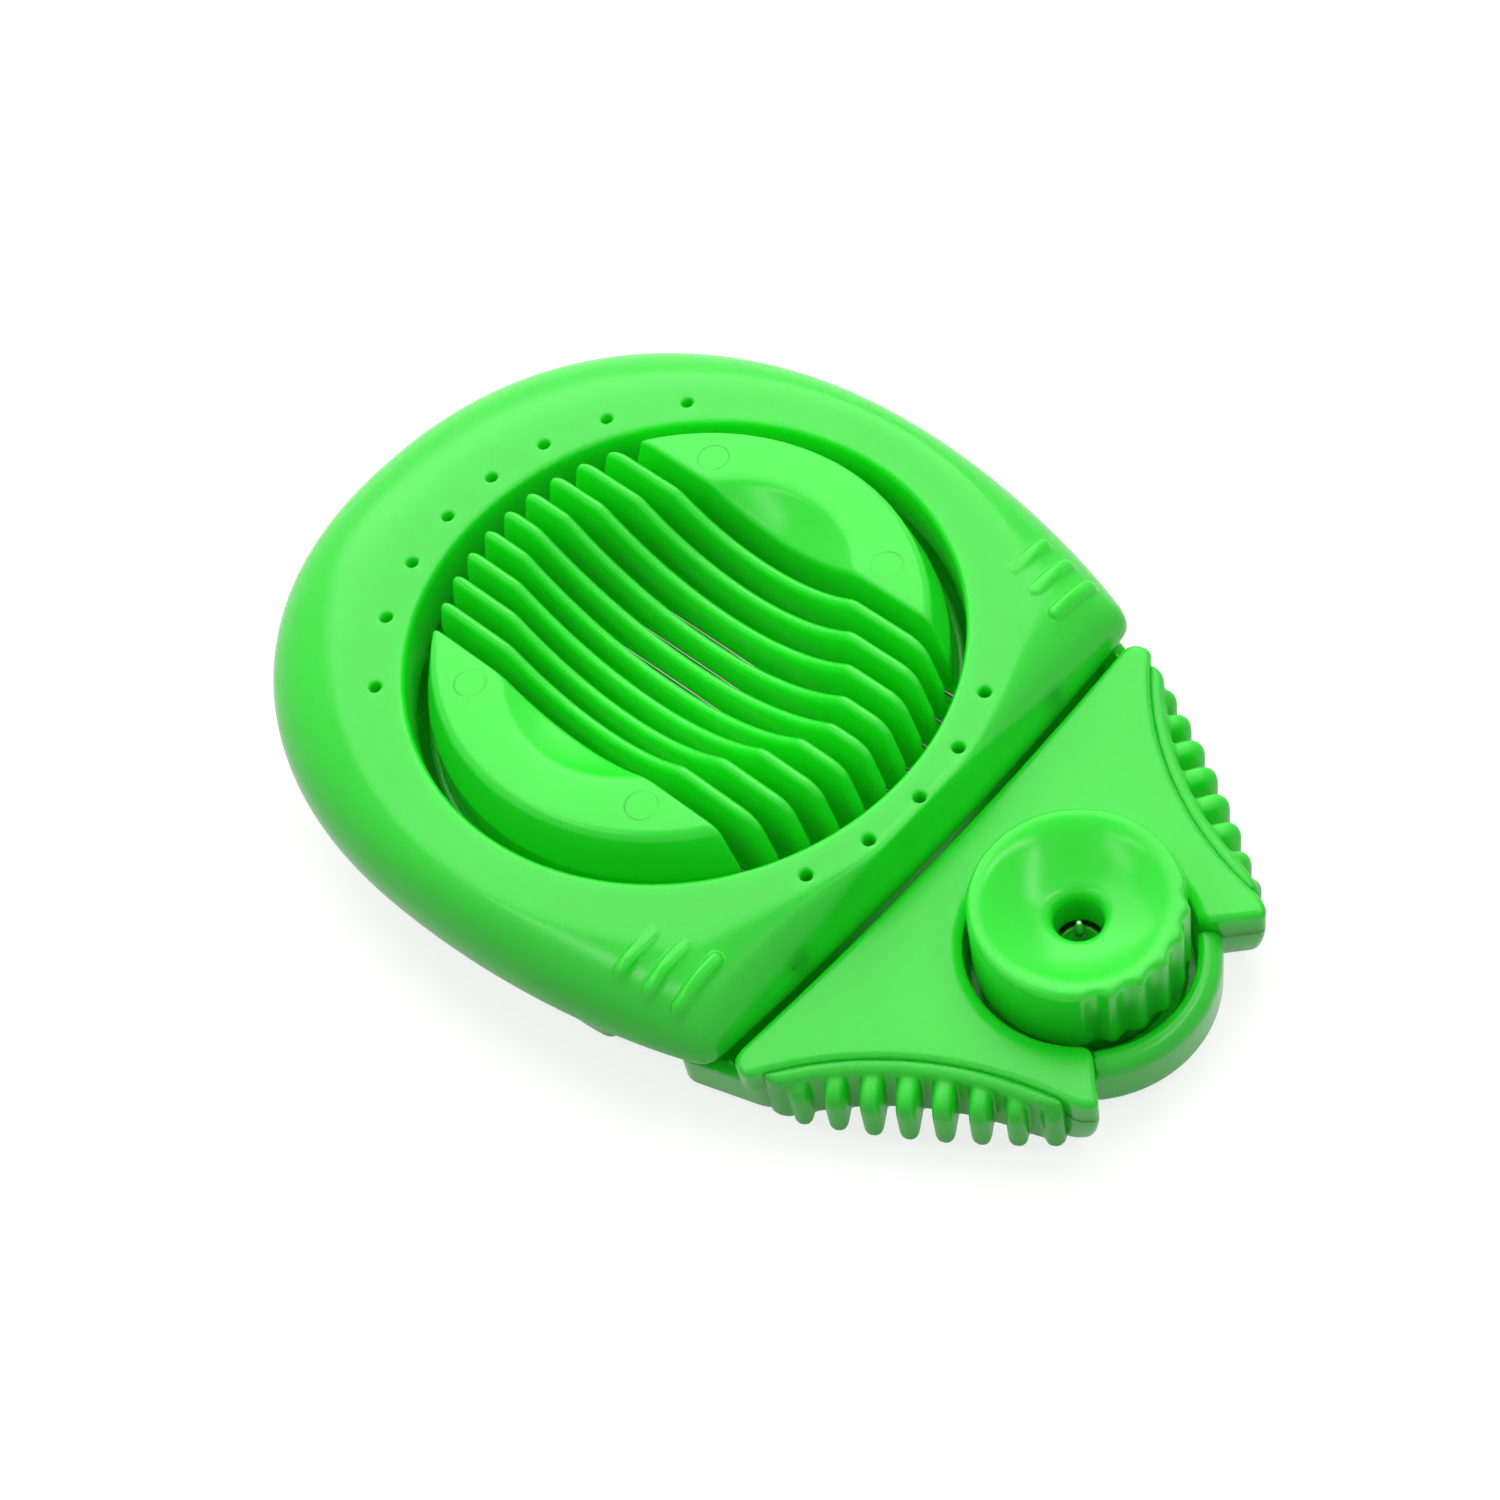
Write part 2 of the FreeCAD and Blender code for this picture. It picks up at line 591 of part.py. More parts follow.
def nose_wedge():
    """Sector on the nose side of the knob, between the two tails."""
    reach = on_knob_circle(BEYOND, TAIL_ANGLE - NOSE_CLEAR)
    corners = [vec(KNOB_X, 0), vec(reach[0], -reach[1]), vec(reach[0], reach[1]), vec(KNOB_X, 0)]
    return Part.Face(Part.makePolygon(corners)).extrude(vec(0, 0, BEYOND))


def base_tray():
    floor_z = BASE_Z + FLOOR_T
    pan = base_pan(0, BASE_Z, RIM_Z)
    neck = block(10, HINGE_X, -NECK_HALF, NECK_HALF, BASE_Z, RIM_Z)
    rear = tray_solid(0, BASE_Z, COVER_LIP_Z)
    body = fuse_all([pan, neck, rear])
    hollow_neck = block(8, 32, WALL - NECK_HALF, NECK_HALF - WALL, floor_z, RIM_Z + 1)
    hollow_rear = tray_solid(WALL, floor_z, COVER_LIP_Z + 1)
    body = body.cut(base_pan(WALL, floor_z, RIM_Z + 1).multiFuse([hollow_neck, hollow_rear]))
    cross = NECK_HALF - 4.5
    added = [cylinder(RECESS_R + RECESS_WALL, BASE_Z, COVER_LIP_Z - SEAT, KNOB_X),
             cylinder(NOSE_R, BASE_Z, NOSE_Z, KNOB_X).common(nose_wedge()),
             block(COVER_FRONT_X - MERGE, COVER_FRONT_X + 1.5, -cross, cross, floor_z - MERGE, COVER_LIP_Z)]
    added += [cylinder(COVER_BOSS_R + 0.2, floor_z - MERGE, COVER_LIP_Z, x, y) for x, y in COVER_SCREW_SPOTS]
    added += [hinge_lug(side) for side in (-1, 1)]
    body = body.multiFuse(added)
    body = body.cut(cylinder(RECESS_R, floor_z, NOSE_Z + 1, KNOB_X))
    guide_r = COLLAR_OUT_R + GAP
    body = body.fuse(tube(guide_r, guide_r + 1.2, floor_z - MERGE, floor_z + 1.1, KNOB_X))
    cuts = [cylinder(HOLDER_STUB_R, 0, RING_Z, KNOB_X)]
    for x, y in COVER_SCREW_SPOTS + CRADLE_SCREW_SPOTS:
        cuts.append(cylinder(SCREW_R + GAP, 0, RING_Z, x, y))
        cuts.append(cylinder(SCREW_HEAD_R + GAP, 0, BASE_Z + SCREW_HEAD_H + SEAT, x, y))
    cuts += [cylinder(FOOT_R, 0, BASE_Z + FOOT_SEAT, x, y) for x, y in FOOT_SPOTS.values()]
    cuts += [rod_y(PIN_R + RUNNING, HINGE_X, HINGE_Z, side * HINGE_Y - LUG_W, side * HINGE_Y + LUG_W)
             for side in (-1, 1)]
    return body.cut(Part.makeCompound(cuts)).removeSplitter()


def hinge_lug(side):
    """Upright ear on the floor that carries one hinge pin inside the frame."""
    y0 = side * HINGE_Y - LUG_W / 2
    y1 = side * HINGE_Y + LUG_W / 2
    stem = block(HINGE_X - LUG_R, HINGE_X + LUG_R, y0, y1, BASE_Z + 1, HINGE_Z)
    root = block(HINGE_X - 3, COVER_FRONT_X, y0, y1, BASE_Z + 1, COVER_LIP_Z)
    return fuse_all([stem, root, rod_y(LUG_R, HINGE_X, HINGE_Z, y0, y1)])


def rubber_foot(spot):
    x, y = spot
    pad = cylinder(FOOT_R - SEAT, 0, BASE_Z + FOOT_SEAT, x, y)
    rim = [e for e in pad.Edges if e.BoundBox.ZMax < SEAT]
    return pad.makeChamfer(0.5, rim)


def screws(spots, top_z):
    bodies = []
    for x, y in spots:
        head = cylinder(SCREW_HEAD_R, BASE_Z, BASE_Z + SCREW_HEAD_H, x, y)
        shank = cylinder(SCREW_R - RUNNING, BASE_Z + SCREW_HEAD_H - SEAT, top_z, x, y)
        bodies.append(head.fuse(shank).removeSplitter())
    return Part.makeCompound(bodies)


# ---------------------------------------------------------------- piercer

def dish_z(radius):
    """Height of the knob's dished top at a distance from its axis."""
    bowl_r = (DISH_RIM_R ** 2 + DISH_DEPTH ** 2) / (2 * DISH_DEPTH)
    return KNOB_TOP_Z - DISH_DEPTH + bowl_r - math.sqrt(bowl_r ** 2 - radius ** 2)


def piercer_knob():
    """Cap with a dished top, a round way for the needle and a fluted thumb side."""
    inner_r = KNOB_R - KNOB_WALL
    roof = KNOB_TOP_Z - DISH_DEPTH - KNOB_ROOF_T
    lower = COLLAR_TOP_Z
    mouth = KNOB_HOLE_R + 0.8
    bowl = []
    for i in range(DISH_BANDS + 1):
        r = DISH_RIM_R + (mouth - DISH_RIM_R) * i / DISH_BANDS
        bowl.append(vec(r, 0, dish_z(r)))
    points = [vec(KNOB_HOLE_R, 0, lower), vec(KNOB_TUBE_R, 0, lower), vec(KNOB_TUBE_R, 0, roof),
              vec(inner_r, 0, roof), vec(inner_r, 0, KNOB_SKIRT_Z), vec(KNOB_R, 0, KNOB_SKIRT_Z),
              vec(KNOB_R, 0, KNOB_TOP_Z - KNOB_EDGE), vec(KNOB_R - KNOB_EDGE, 0, KNOB_TOP_Z)] + bowl
    points += [vec(KNOB_HOLE_R, 0, dish_z(0) - 0.9), vec(KNOB_HOLE_R, 0, lower)]
    body = Part.Face(Part.makePolygon(points)).revolve(vec(0, 0, 0), vec(0, 0, 1), 360)
    cutters = []
    for i in range(FLUTES):
        angle = math.radians((i - (FLUTES - 1) / 2) * FLUTE_STEP)
        r = KNOB_R + FLUTE_R * 0.45
        cutters.append(cylinder(FLUTE_R, 0, KNOB_TOP_Z + 1, r * math.cos(angle), r * math.sin(angle)))
    body = body.cut(Part.makeCompound(cutters))
    keys = []
    for angle in KEY_ANGLES:
        key = block(COLLAR_IN_R + GAP, inner_r + MERGE, -KEY_W / 2, KEY_W / 2,
                    KNOB_SKIRT_Z, KNOB_SKIRT_Z + KEY_H)
        key.rotate(vec(0, 0, 0), vec(0, 0, 1), angle)
        keys.append(key)
    body = body.multiFuse(keys).removeSplitter()
    body.translate(vec(KNOB_X, 0, 0))
    return body


def lock_collar():
    z0 = BASE_Z + FLOOR_T + SEAT
    wall = tube(COLLAR_IN_R, COLLAR_OUT_R, z0, COLLAR_TOP_Z, KNOB_X)
    floor = tube(HOLDER_R + 2.2, COLLAR_OUT_R, z0, z0 + COLLAR_FLOOR_T, KNOB_X)
    body = wall.fuse(floor)
    half = KEY_W / 2 + 0.2
    for angle in KEY_ANGLES:
        slot = block(COLLAR_IN_R - 1, COLLAR_OUT_R + 1, -half, half,
                     KNOB_SKIRT_Z - KNOB_TRAVEL - 0.2, KNOB_SKIRT_Z + KEY_H + SEAT)
        slot.rotate(vec(0, 0, 0), vec(0, 0, 1), angle)
        slot.translate(vec(KNOB_X, 0, 0))
        body = body.cut(slot)
    return body.removeSplitter()


def piercer_spring():
    """Coil between the locking collar's floor and the knob's roof, bent in short straight lengths."""
    z0 = BASE_Z + FLOOR_T + SEAT + COLLAR_FLOOR_T + SPRING_WIRE_R
    z1 = KNOB_TOP_Z - DISH_DEPTH - KNOB_ROOF_T - SPRING_WIRE_R
    count = SPRING_TURNS * SPRING_SIDES
    points = []
    for i in range(count + 1):
        angle = 2 * math.pi * i / SPRING_SIDES
        points.append(vec(KNOB_X + SPRING_R * math.cos(angle), SPRING_R * math.sin(angle),
                          z0 + (z1 - z0) * i / count))
    path = Part.makePolygon(points)
    section = hexagon(SPRING_WIRE_R)
    section.Placement = FreeCAD.Placement(points[0], facing(points[1] - points[0]))
    return path.makePipeShell([section], True, True, 1)


def needle_holder():
    z0 = BASE_Z + FLOOR_T
    post = cylinder(HOLDER_R, z0, HOLDER_TOP_Z, KNOB_X)
    flange = cylinder(HOLDER_R + 1.6, z0, z0 + 1.2, KNOB_X)
    stub = cylinder(HOLDER_STUB_R - RUNNING, BASE_Z + 0.2, z0 + MERGE, KNOB_X)
    body = fuse_all([post, flange, stub])
    return body.cut(cylinder(NEEDLE_R, z0 + NEEDLE_SET, HOLDER_TOP_Z + 1, KNOB_X)).removeSplitter()


def piercer_needle():
    taper_z = NEEDLE_TIP_Z - NEEDLE_POINT
    shaft = cylinder(NEEDLE_R, BASE_Z + FLOOR_T + NEEDLE_SET, taper_z, KNOB_X)
    tip = Part.makeCone(NEEDLE_R, NEEDLE_R / 4, NEEDLE_POINT, vec(KNOB_X, 0, taper_z))
    return shaft.fuse(tip)


# ---------------------------------------------------------------- grips

def grip_rib(index):
    """Upright rib that swells out from under the lip; its outer line runs almost straight."""
    length = math.dist(FLANK_START, FLANK_END)
    along = GRIP_FIRST + index * GRIP_PITCH
    flank_r = (length ** 2 / 4 + FLANK_SAG ** 2) / (2 * FLANK_SAG)
    sag = math.sqrt(flank_r ** 2 - (along - length / 2) ** 2) - (flank_r - FLANK_SAG)
    inner = GRIP_LIP / 2 - sag
    outer = GRIP_REACH - GRIP_REACH_FALL * (along - GRIP_REACH_AT) ** 2
    shoulder = GRIP_TOP_Z - GRIP_SHOULDER
    drop = min(GRIP_BULGE, outer - inner)
    sag_45 = drop * (1 - math.sqrt(0.5))
    arc = Part.Arc(vec(outer - drop, 0, shoulder), vec(outer - sag_45, 0, shoulder - sag_45),
                   vec(outer, 0, shoulder - drop)).toShape()
    rest = Part.makePolygon([vec(outer, 0, shoulder - drop), vec(outer, 0, GRIP_BOTTOM_Z + GRIP_EDGE),
                             vec(outer - GRIP_EDGE, 0, GRIP_BOTTOM_Z), vec(inner, 0, GRIP_BOTTOM_Z),
                             vec(inner, 0, shoulder), vec(outer - drop, 0, shoulder)])
    face = Part.Face(Part.Wire([arc] + rest.Edges))
    rib = face.extrude(vec(0, GRIP_RIB_W, 0))
    rib.translate(vec(0, -GRIP_RIB_W / 2, 0))
    nx, ny = flank_normal()
    rib.rotate(vec(0, 0, 0), vec(0, 0, 1), math.degrees(math.atan2(ny, nx)))
    rib.translate(vec(FLANK_START[0] + ny * along, FLANK_START[1] - nx * along, 0))
    return rib


def side_grip():
    """Crescent insert: a lip along the flank, narrowing to the tail, with upright ribs below it."""
    start, middle, end = [vec(x, y, GRIP_BOTTOM_Z) for x, y in flank_points(SEAT)]
    start_out, middle_out = [vec(x, y, GRIP_BOTTOM_Z) for x, y in flank_points(GRIP_LIP)[:2]]
    end_out = [vec(x, y, GRIP_BOTTOM_Z) for x, y in flank_points(GRIP_END)][2]
    edges = [Part.Arc(start, middle, end).toShape(), Part.LineSegment(end, end_out).toShape(),
             Part.Arc(end_out, middle_out, start_out).toShape(), Part.LineSegment(start_out, start).toShape()]
    wall = Part.Face(Part.Wire(edges)).extrude(vec(0, 0, GRIP_TOP_Z - GRIP_BOTTOM_Z))
    return fuse_all([wall] + [grip_rib(i) for i in range(GRIP_RIBS)])


def build():
    parts = {
        "wire_frame": wire_frame(),
        "wire_clamp_ring": wire_clamp_ring(),
        "cutting_wire": cutting_wire(),
        "hinge_pin_left": hinge_pin(-1),
        "hinge_pin_right": hinge_pin(1),
        "egg_cradle": egg_cradle(),
        "rear_cover": rear_cover(),
        "base_tray": base_tray(),
        "side_grip_left": mirror_y(side_grip()),
        "side_grip_right": side_grip(),
        "cradle_screws": screws(CRADLE_SCREW_SPOTS, CRADLE_PLATE_Z - 2),
        "cover_screws": screws(COVER_SCREW_SPOTS, COVER_Z - 2),
        "piercer_knob": piercer_knob(),
        "lock_collar": lock_collar(),
        "piercer_spring": piercer_spring(),
        "needle_holder": needle_holder(),
        "piercer_needle": piercer_needle(),
    }
    for name, spot in FOOT_SPOTS.items():
        parts["foot_" + name] = rubber_foot(spot)
    return parts


def main():
    os.makedirs("parts", exist_ok=True)
    for name, shape in build().items():
        shape.exportStep("parts/" + name + ".step")
        print(name, shape.isValid(), len(shape.Solids), round(shape.Volume, 1), shape.BoundBox)


main()
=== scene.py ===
import math

import bpy
import numpy as np
from mathutils import Matrix, Vector


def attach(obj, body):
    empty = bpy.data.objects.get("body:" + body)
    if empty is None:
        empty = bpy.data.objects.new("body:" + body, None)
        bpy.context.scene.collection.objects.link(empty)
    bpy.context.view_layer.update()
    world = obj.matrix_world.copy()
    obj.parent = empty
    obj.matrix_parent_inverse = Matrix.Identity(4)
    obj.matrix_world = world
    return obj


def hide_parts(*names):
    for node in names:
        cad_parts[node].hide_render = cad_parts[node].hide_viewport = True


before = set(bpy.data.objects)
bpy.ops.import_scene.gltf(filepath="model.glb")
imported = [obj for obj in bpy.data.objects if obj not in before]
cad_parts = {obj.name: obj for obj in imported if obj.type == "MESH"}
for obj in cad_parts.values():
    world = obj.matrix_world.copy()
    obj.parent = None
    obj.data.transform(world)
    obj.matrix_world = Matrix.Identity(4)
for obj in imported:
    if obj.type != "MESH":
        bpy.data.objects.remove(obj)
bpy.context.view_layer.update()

MM = 0.001
SCENE = bpy.context.scene
SCENE.view_settings.view_transform = "Standard"

# ------------------------------------------------------------------ sizes in millimetres, mostly the CAD source's
GAP, SEAT, RUNNING, PANEL_GAP = 0.3, 0.1, 0.05, 0.9     # clearances, and the gap between lid and cover
LAP = 1.0               # how far a boss runs into the shell above it
FAR = 50.0              # further off than any part of a piece

# The lid: an egg-shaped dome with a round opening and a nearly straight front edge.
RING_X, OPENING_R = -10.8, 36.7
EGG_X, EGG_REAR, EGG_FRONT, EGG_HALF, EGG_POWER = -15.0, 56.1, 81.7, 48.7, 2.2
FRONT_X, FRONT_BOW, CORNER_POWER = 31.9, 2.1, 70
SKIRT_Z, RING_Z = 11.3, 20.9
CREST_R, CREST_SETBACK, DOME_DROP = OPENING_R + 5.5, 1.15, 8.2
FRAME_WALL, COLLAR_T, CLAMP_Z = 1.6, 1.5, 12.9
FRAME_EDGE = 0.8        # rounding of the front edge
GRIP_BARS = ((16.7, 34.0, 40.0), (20.9, 33.1, 39.5), (25.0, 32.0, 38.9))        # x, then y from and to
BAR_HALF, BAR_RISE = 0.9, 0.75
WIDE_HOLE_ANGLES, HINGE_HOLE_ANGLES = (6.0, 18.3, 31.6, 47.7), (0.0, 12.0, 24.5)
HOLE_CIRCLE_R, HOLE_R = OPENING_R + 3.8, 0.8
HOLE_FLOOR_Z, HOLE_WALL, HOLE_SINK = 16.0, 0.9, 0.5     # the holes end in bosses under the shell

# The hinge. A lug is a thin bent arm that reaches its pin from behind, through a pocket in the frame.
HINGE_X, HINGE_Z, HINGE_Y, LUG_W = FRONT_X - 1.6, 14.4, 24.0, 2.4
EAR_R, KNUCKLE_W, KNUCKLE_SINK = 1.6, 3.0, 0.4
EYE_R, EYE_FRONT, LUG_PLAY = 0.42, 0.22, 0.1
ARM_RISE, ARM_HALF, ARM_BACK = 0.66, 0.34, 5.2          # above the pin, and back from it
STEM_BACK, STEM_HALF = 4.5, 0.7
POCKET_RISE, POCKET_BACK = 1.3, 7.0
PIN_HALF, PIN_SIDES = 4.6, 24
PIN_END = ((0, 0), (0.16, 0), (0.24, 0.08), (0.26, 0.2))        # radius, then depth below the pin's end

# The cradle: slats between two end blocks, on a round plate.
SHOULDER_Z = 24.0
SLAT_PITCH, SLAT_T = 4.0, 1.5
CRADLE_R, CRADLE_FOOT_R, CRADLE_DRAFT_Z = OPENING_R - 4.4, OPENING_R - 2.3, 17.0
PLATE_R, PLATE_Z, PLATE_T, CRADLE_BOSS_R = OPENING_R - 0.7, 10.2, 2.2, 3.2
VALLEY_X, VALLEY_HALF, VALLEY_FALL, VALLEY_BLUNT = -10.6, 28.9, 0.82, 3.4
VALLEY_DEPTHS = (8.6, 8.6, 7.3, 6.2, 4.7)               # of the bed in each slat, from the middle out
SLATS = len(VALLEY_DEPTHS) - 1
BLOCK_Y, DISH_R, DISH_Y, DISH_RISE = SLATS * SLAT_PITCH + 3.5, 28.1, 8.4, 22.3
MARK_SPOTS, MARK_R = ((-25.9, 23.05), (4.95, 23.0)), 2.1        # ejector marks, for the half with positive y

# The wire, laced round posts inside the frame.
WIRE_R, WIRE_Z, POST_CIRCLE_R, WIRE_SIDES = 0.25, 12.3, OPENING_R + 1.7, 10
WIRE_TAIL = 1.6         # radians that each end runs on round its last post

# The base tray and its rear cover.
BASE_Z, FLOOR_T, RIM_Z, WALL = 2.0, 2.0, 9.6, 2.0
TRAY_FLOOR_Z = BASE_Z + FLOOR_T
PAN_INSET, PAN_FLARE_INSET, PAN_END_ANGLE = 6.9, 2.9, 124.0
PAN_FLARE_FROM, PAN_FLARE_OVER = 92.0, 32.0             # degrees round the pan, from its rear
NECK_HALF, NECK_X = 0.77 * EGG_HALF, 10.0
COVER_Z, COVER_LIP_Z, COVER_T, COVER_BOSS_R, POST_EXTRA = 12.5, 8.4, 2.0, 2.6, 0.2
COVER_FRONT_X, COVER_HALF = FRONT_X + PANEL_GAP, 0.8 * EGG_HALF
LIP_LAP, MOUTH_PLAY = 0.2, 0.2      # how far the cover laps the base, and play round the knob's well
FLANK_START, FLANK_END, FLANK_SAG = (COVER_FRONT_X + 3.0, COVER_HALF - 1.4), (68.2, 17.7), 4.0
LEDGE = ((22.5, NECK_HALF + 1.1), (25.0, NECK_HALF + 3.5), (34.6, NECK_HALF + 0.4))
CROSS_X, CROSS_HALF, CROSS_END = COVER_FRONT_X + 0.5, 1.0, NECK_HALF - 4.5      # wall across the tray
OPEN_ANGLE, OPEN_PLAY = math.radians(100), 0.06         # the lid's front face clears the cover when it is open

# The knob and its well, the nose round it and the tails beside it.
TAIL_ANGLE, KNOB_X, KNOB_R = 45.7, 54.05, 13.15
RECESS_R, RECESS_WALL = KNOB_R + 0.55, 1.4
NOSE_R, NOSE_Z, TAIL_OUT_R = RECESS_R + 3.25, 10.4, RECESS_R + 8.7
NOSE_ANGLE, TAIL_DRAW = TAIL_ANGLE + 0.3, 0.025         # where the nose ends, and how the tails draw in below
KNOB_TOP_Z, KNOB_SKIRT_Z, KNOB_WALL, KNOB_ROOF_T, DISH_DEPTH = 21.2, 9.4, 1.6, 1.8, 3.8
DISH_RIM_R, KNOB_HOLE_R, KNOB_TUBE_R = KNOB_R - 1.9, 3.0, 4.4
FLUTES, FLUTE_R, FLUTE_STEP, FLUTE_OUT = 6, 1.25, 17.0, 0.45
COLLAR_OUT_R, COLLAR_TOP_Z = 11.0, 11.3
KEY_ANGLES, KEY_W, KEY_H, KEY_IN, KEY_OUT = (90, 210, 330), 2.4, 1.2, 1.3, 0.5
GUIDE_HALF, GUIDE_H, GUIDE_SINK = 0.6, 1.1, 0.5         # the ring that centres the bayonet collar
HOLDER_STUB_R = 1.6
NEEDLE_R, NEEDLE_TIP_Z, NEEDLE_POINT, NEEDLE_SET = 0.65, 16.2, 1.6, 2.0
NEEDLE_FOOT_Z, NEEDLE_NECK_Z = TRAY_FLOOR_Z + NEEDLE_SET, NEEDLE_TIP_Z - NEEDLE_POINT
# Turned shapes: radius, then height.
NEEDLE_PROFILE = ((0, NEEDLE_FOOT_Z), (NEEDLE_R - 0.1, NEEDLE_FOOT_Z), (NEEDLE_R, NEEDLE_FOOT_Z + 0.1),
                  (NEEDLE_R, NEEDLE_NECK_Z - 0.2), (NEEDLE_R - 0.05, NEEDLE_NECK_Z + 0.1),
                  (0.36, NEEDLE_TIP_Z - 0.25), (0.2, NEEDLE_TIP_Z - 0.07), (0, NEEDLE_TIP_Z))
HOLDER_PROFILE = ((0, BASE_Z + 0.2), (HOLDER_STUB_R, BASE_Z + 0.2), (HOLDER_STUB_R, TRAY_FLOOR_Z),
                  (3.9, TRAY_FLOOR_Z), (4.0, 4.1), (4.0, 5.0), (3.8, 5.2), (2.8, 5.3), (2.75, 10.7), (2.6, 10.9),
                  (2.4, 10.9), (2.2, 10.7), (1.2, 9.4), (0, 9.3))
FOOT_PROFILE = ((0, 0.25), (2.4, 0.22), (2.6, 0), (3.6, 0), (3.9, 0.05), (4.15, 0.2), (4.3, 0.45), (4.36, 0.8),
                (4.4, 1.4), (4.4, 2.7), (4.3, 2.8), (0, 2.8))

# The side grips: a bead along the flank, and ribs.
GRIP_RIBS, GRIP_PITCH, GRIP_FIRST, GRIP_RIB_W = 8, 4.32, 4.4, 2.5
GRIP_REACH, GRIP_REACH_FALL, GRIP_REACH_AT = 2.0, 0.0035, 15.5
GRIP_LIP, GRIP_END, GRIP_SINK, GRIP_STOP = 1.6, -0.12, 0.35, 2.2
GRIP_TAPER, GRIP_START = 7.0, 3.0                       # lengths over which the bead thins out at its ends
GRIP_TOP_Z, GRIP_BOTTOM_Z, GRIP_SHOULDER = 12.1, 2.6, 0.9
RIB_ROUND, RIB_SINK = 3.0, 0.4

# Screws and feet.
SCREW_R, SCREW_HEAD_R, SCREW_HEAD_H = 1.2, 2.4, 1.1
CRADLE_SCREW_SPOTS = ((-34.0, -14.0), (-34.0, 14.0), (12.4, -14.0), (12.4, 14.0))
COVER_SCREW_SPOTS = ((36.6, -30.8), (36.6, 30.8), (63.4, -15.0), (63.4, 15.0))
CRADLE_BLIND, COVER_BLIND = 1.2, 1.4                    # plastic left over the screw holes
DRIVE_REACH, DRIVE_HALF, DRIVE_DEPTH, DRIVE_TAPER = 1.25, 0.3, 0.75, 0.3        # the cross recess
SHANK_START, SCREW_SHORT = 0.9, 2.0     # above the head's face, and below the top of what it holds
SCREW_CELL, SCREW_ROOM = 0.2, 2.6
FOOT_R, FOOT_SEAT = 4.5, 0.8
FOOT_SPOTS = {"rear_left": (-48.0, -22.0), "rear_right": (-48.0, 22.0),
              "front_left": (40.0, -24.0), "front_right": (40.0, 24.0)}
TURNED_SIDES, NEEDLE_SIDES = 64, 32

# ------------------------------------------------------------------ camera and light, in metres
CAMERA_AT = Vector((0.1606, -0.1162, 0.2849))
CAMERA_RIGHT = Vector((0.72837454, 0.66978929, -0.14440509))
CAMERA_UP = Vector((-0.49808966, 0.66232151, 0.55967572))
LENS_MM, SENSOR_MM, NEAR_CLIP = 62.37, 36.0, 0.01
FLOOR_REACH, FLOOR_TONE, FLOOR_LIFT = 3.0, 0.36, 0.78
WORLD_STRENGTH = 0.25
OBJECT_MIDDLE, KNOB_SIDE = (0, 0, 0), (0.054, 0, 0.02)
LAMPS = (       # name, place, what it faces, size, watts
    ("overhead", (-0.43, 0.33, 0.65), OBJECT_MIDDLE, (1.0, 1.0), 7.0),
    ("strip_right", (0.26, 0.183, 0.52), KNOB_SIDE, (0.43, 0.05), 0.6),
    ("strip_left", (-0.108, -0.303, 0.52), KNOB_SIDE, (0.31, 0.05), 0.4),
)


def make_camera():
    data = bpy.data.cameras.new("camera")
    data.lens = LENS_MM
    data.sensor_width = SENSOR_MM
    data.clip_start = NEAR_CLIP
    camera = bpy.data.objects.new("camera", data)
    SCENE.collection.objects.link(camera)
    back = CAMERA_RIGHT.cross(CAMERA_UP)
    turn = Matrix((CAMERA_RIGHT, CAMERA_UP, back)).transposed()
    camera.matrix_world = Matrix.Translation(CAMERA_AT) @ turn.to_4x4()
    SCENE.camera = camera


def area_light(name, at, to, size, power):
    data = bpy.data.lights.new(name, "AREA")
    data.shape = "RECTANGLE"
    data.size, data.size_y = size
    data.energy = power
    light = bpy.data.objects.new(name, data)
    light.location = at
    light.rotation_mode = "QUATERNION"
    light.rotation_quaternion = (Vector(to) - Vector(at)).to_track_quat("-Z", "Y")
    SCENE.collection.objects.link(light)


def math_node(tree, operation, *inputs):
    """Output of a Math node; each input is a socket to link or a number."""
    node = tree.nodes.new("ShaderNodeMath")
    node.operation = operation
    for socket, value in zip(node.inputs, inputs):
        if isinstance(value, (int, float)):
            socket.default_value = value
        else:
            tree.links.new(value, socket)
    return node.outputs[0]


def seen_directly(tree):
    """One for rays that end in the picture or in a reflection, nought for rays that carry light."""
    path = tree.nodes.new("ShaderNodeLightPath")
    seen = math_node(tree, "MAXIMUM", path.outputs["Is Camera Ray"], path.outputs["Is Glossy Ray"])
    return math_node(tree, "MAXIMUM", seen, path.outputs["Is Transmission Ray"])


def make_floor():
    """Grey under the lights, with a glow on top that only the picture and reflections see."""
    corners = [(x * FLOOR_REACH, y * FLOOR_REACH, 0) for x, y in ((-1, -1), (1, -1), (1, 1), (-1, 1))]
    mesh = bpy.data.meshes.new("floor")
    mesh.from_pydata(corners, [], [(0, 1, 2, 3)])
    floor = bpy.data.objects.new("floor", mesh)
    SCENE.collection.objects.link(floor)
    mat = bpy.data.materials.new("floor_white")
    mat.use_nodes = True
    tree = mat.node_tree
    shader = tree.nodes["Principled BSDF"]
    shader.inputs["Base Color"].default_value = (FLOOR_TONE, FLOOR_TONE, FLOOR_TONE, 1)
    shader.inputs["Roughness"].default_value = 1.0
    shader.inputs["Specular IOR Level"].default_value = 0.0
    shader.inputs["Emission Color"].default_value = (1, 1, 1, 1)
    glow = math_node(tree, "MULTIPLY", seen_directly(tree), FLOOR_LIFT)
    tree.links.new(glow, shader.inputs["Emission Strength"])
    mesh.materials.append(mat)


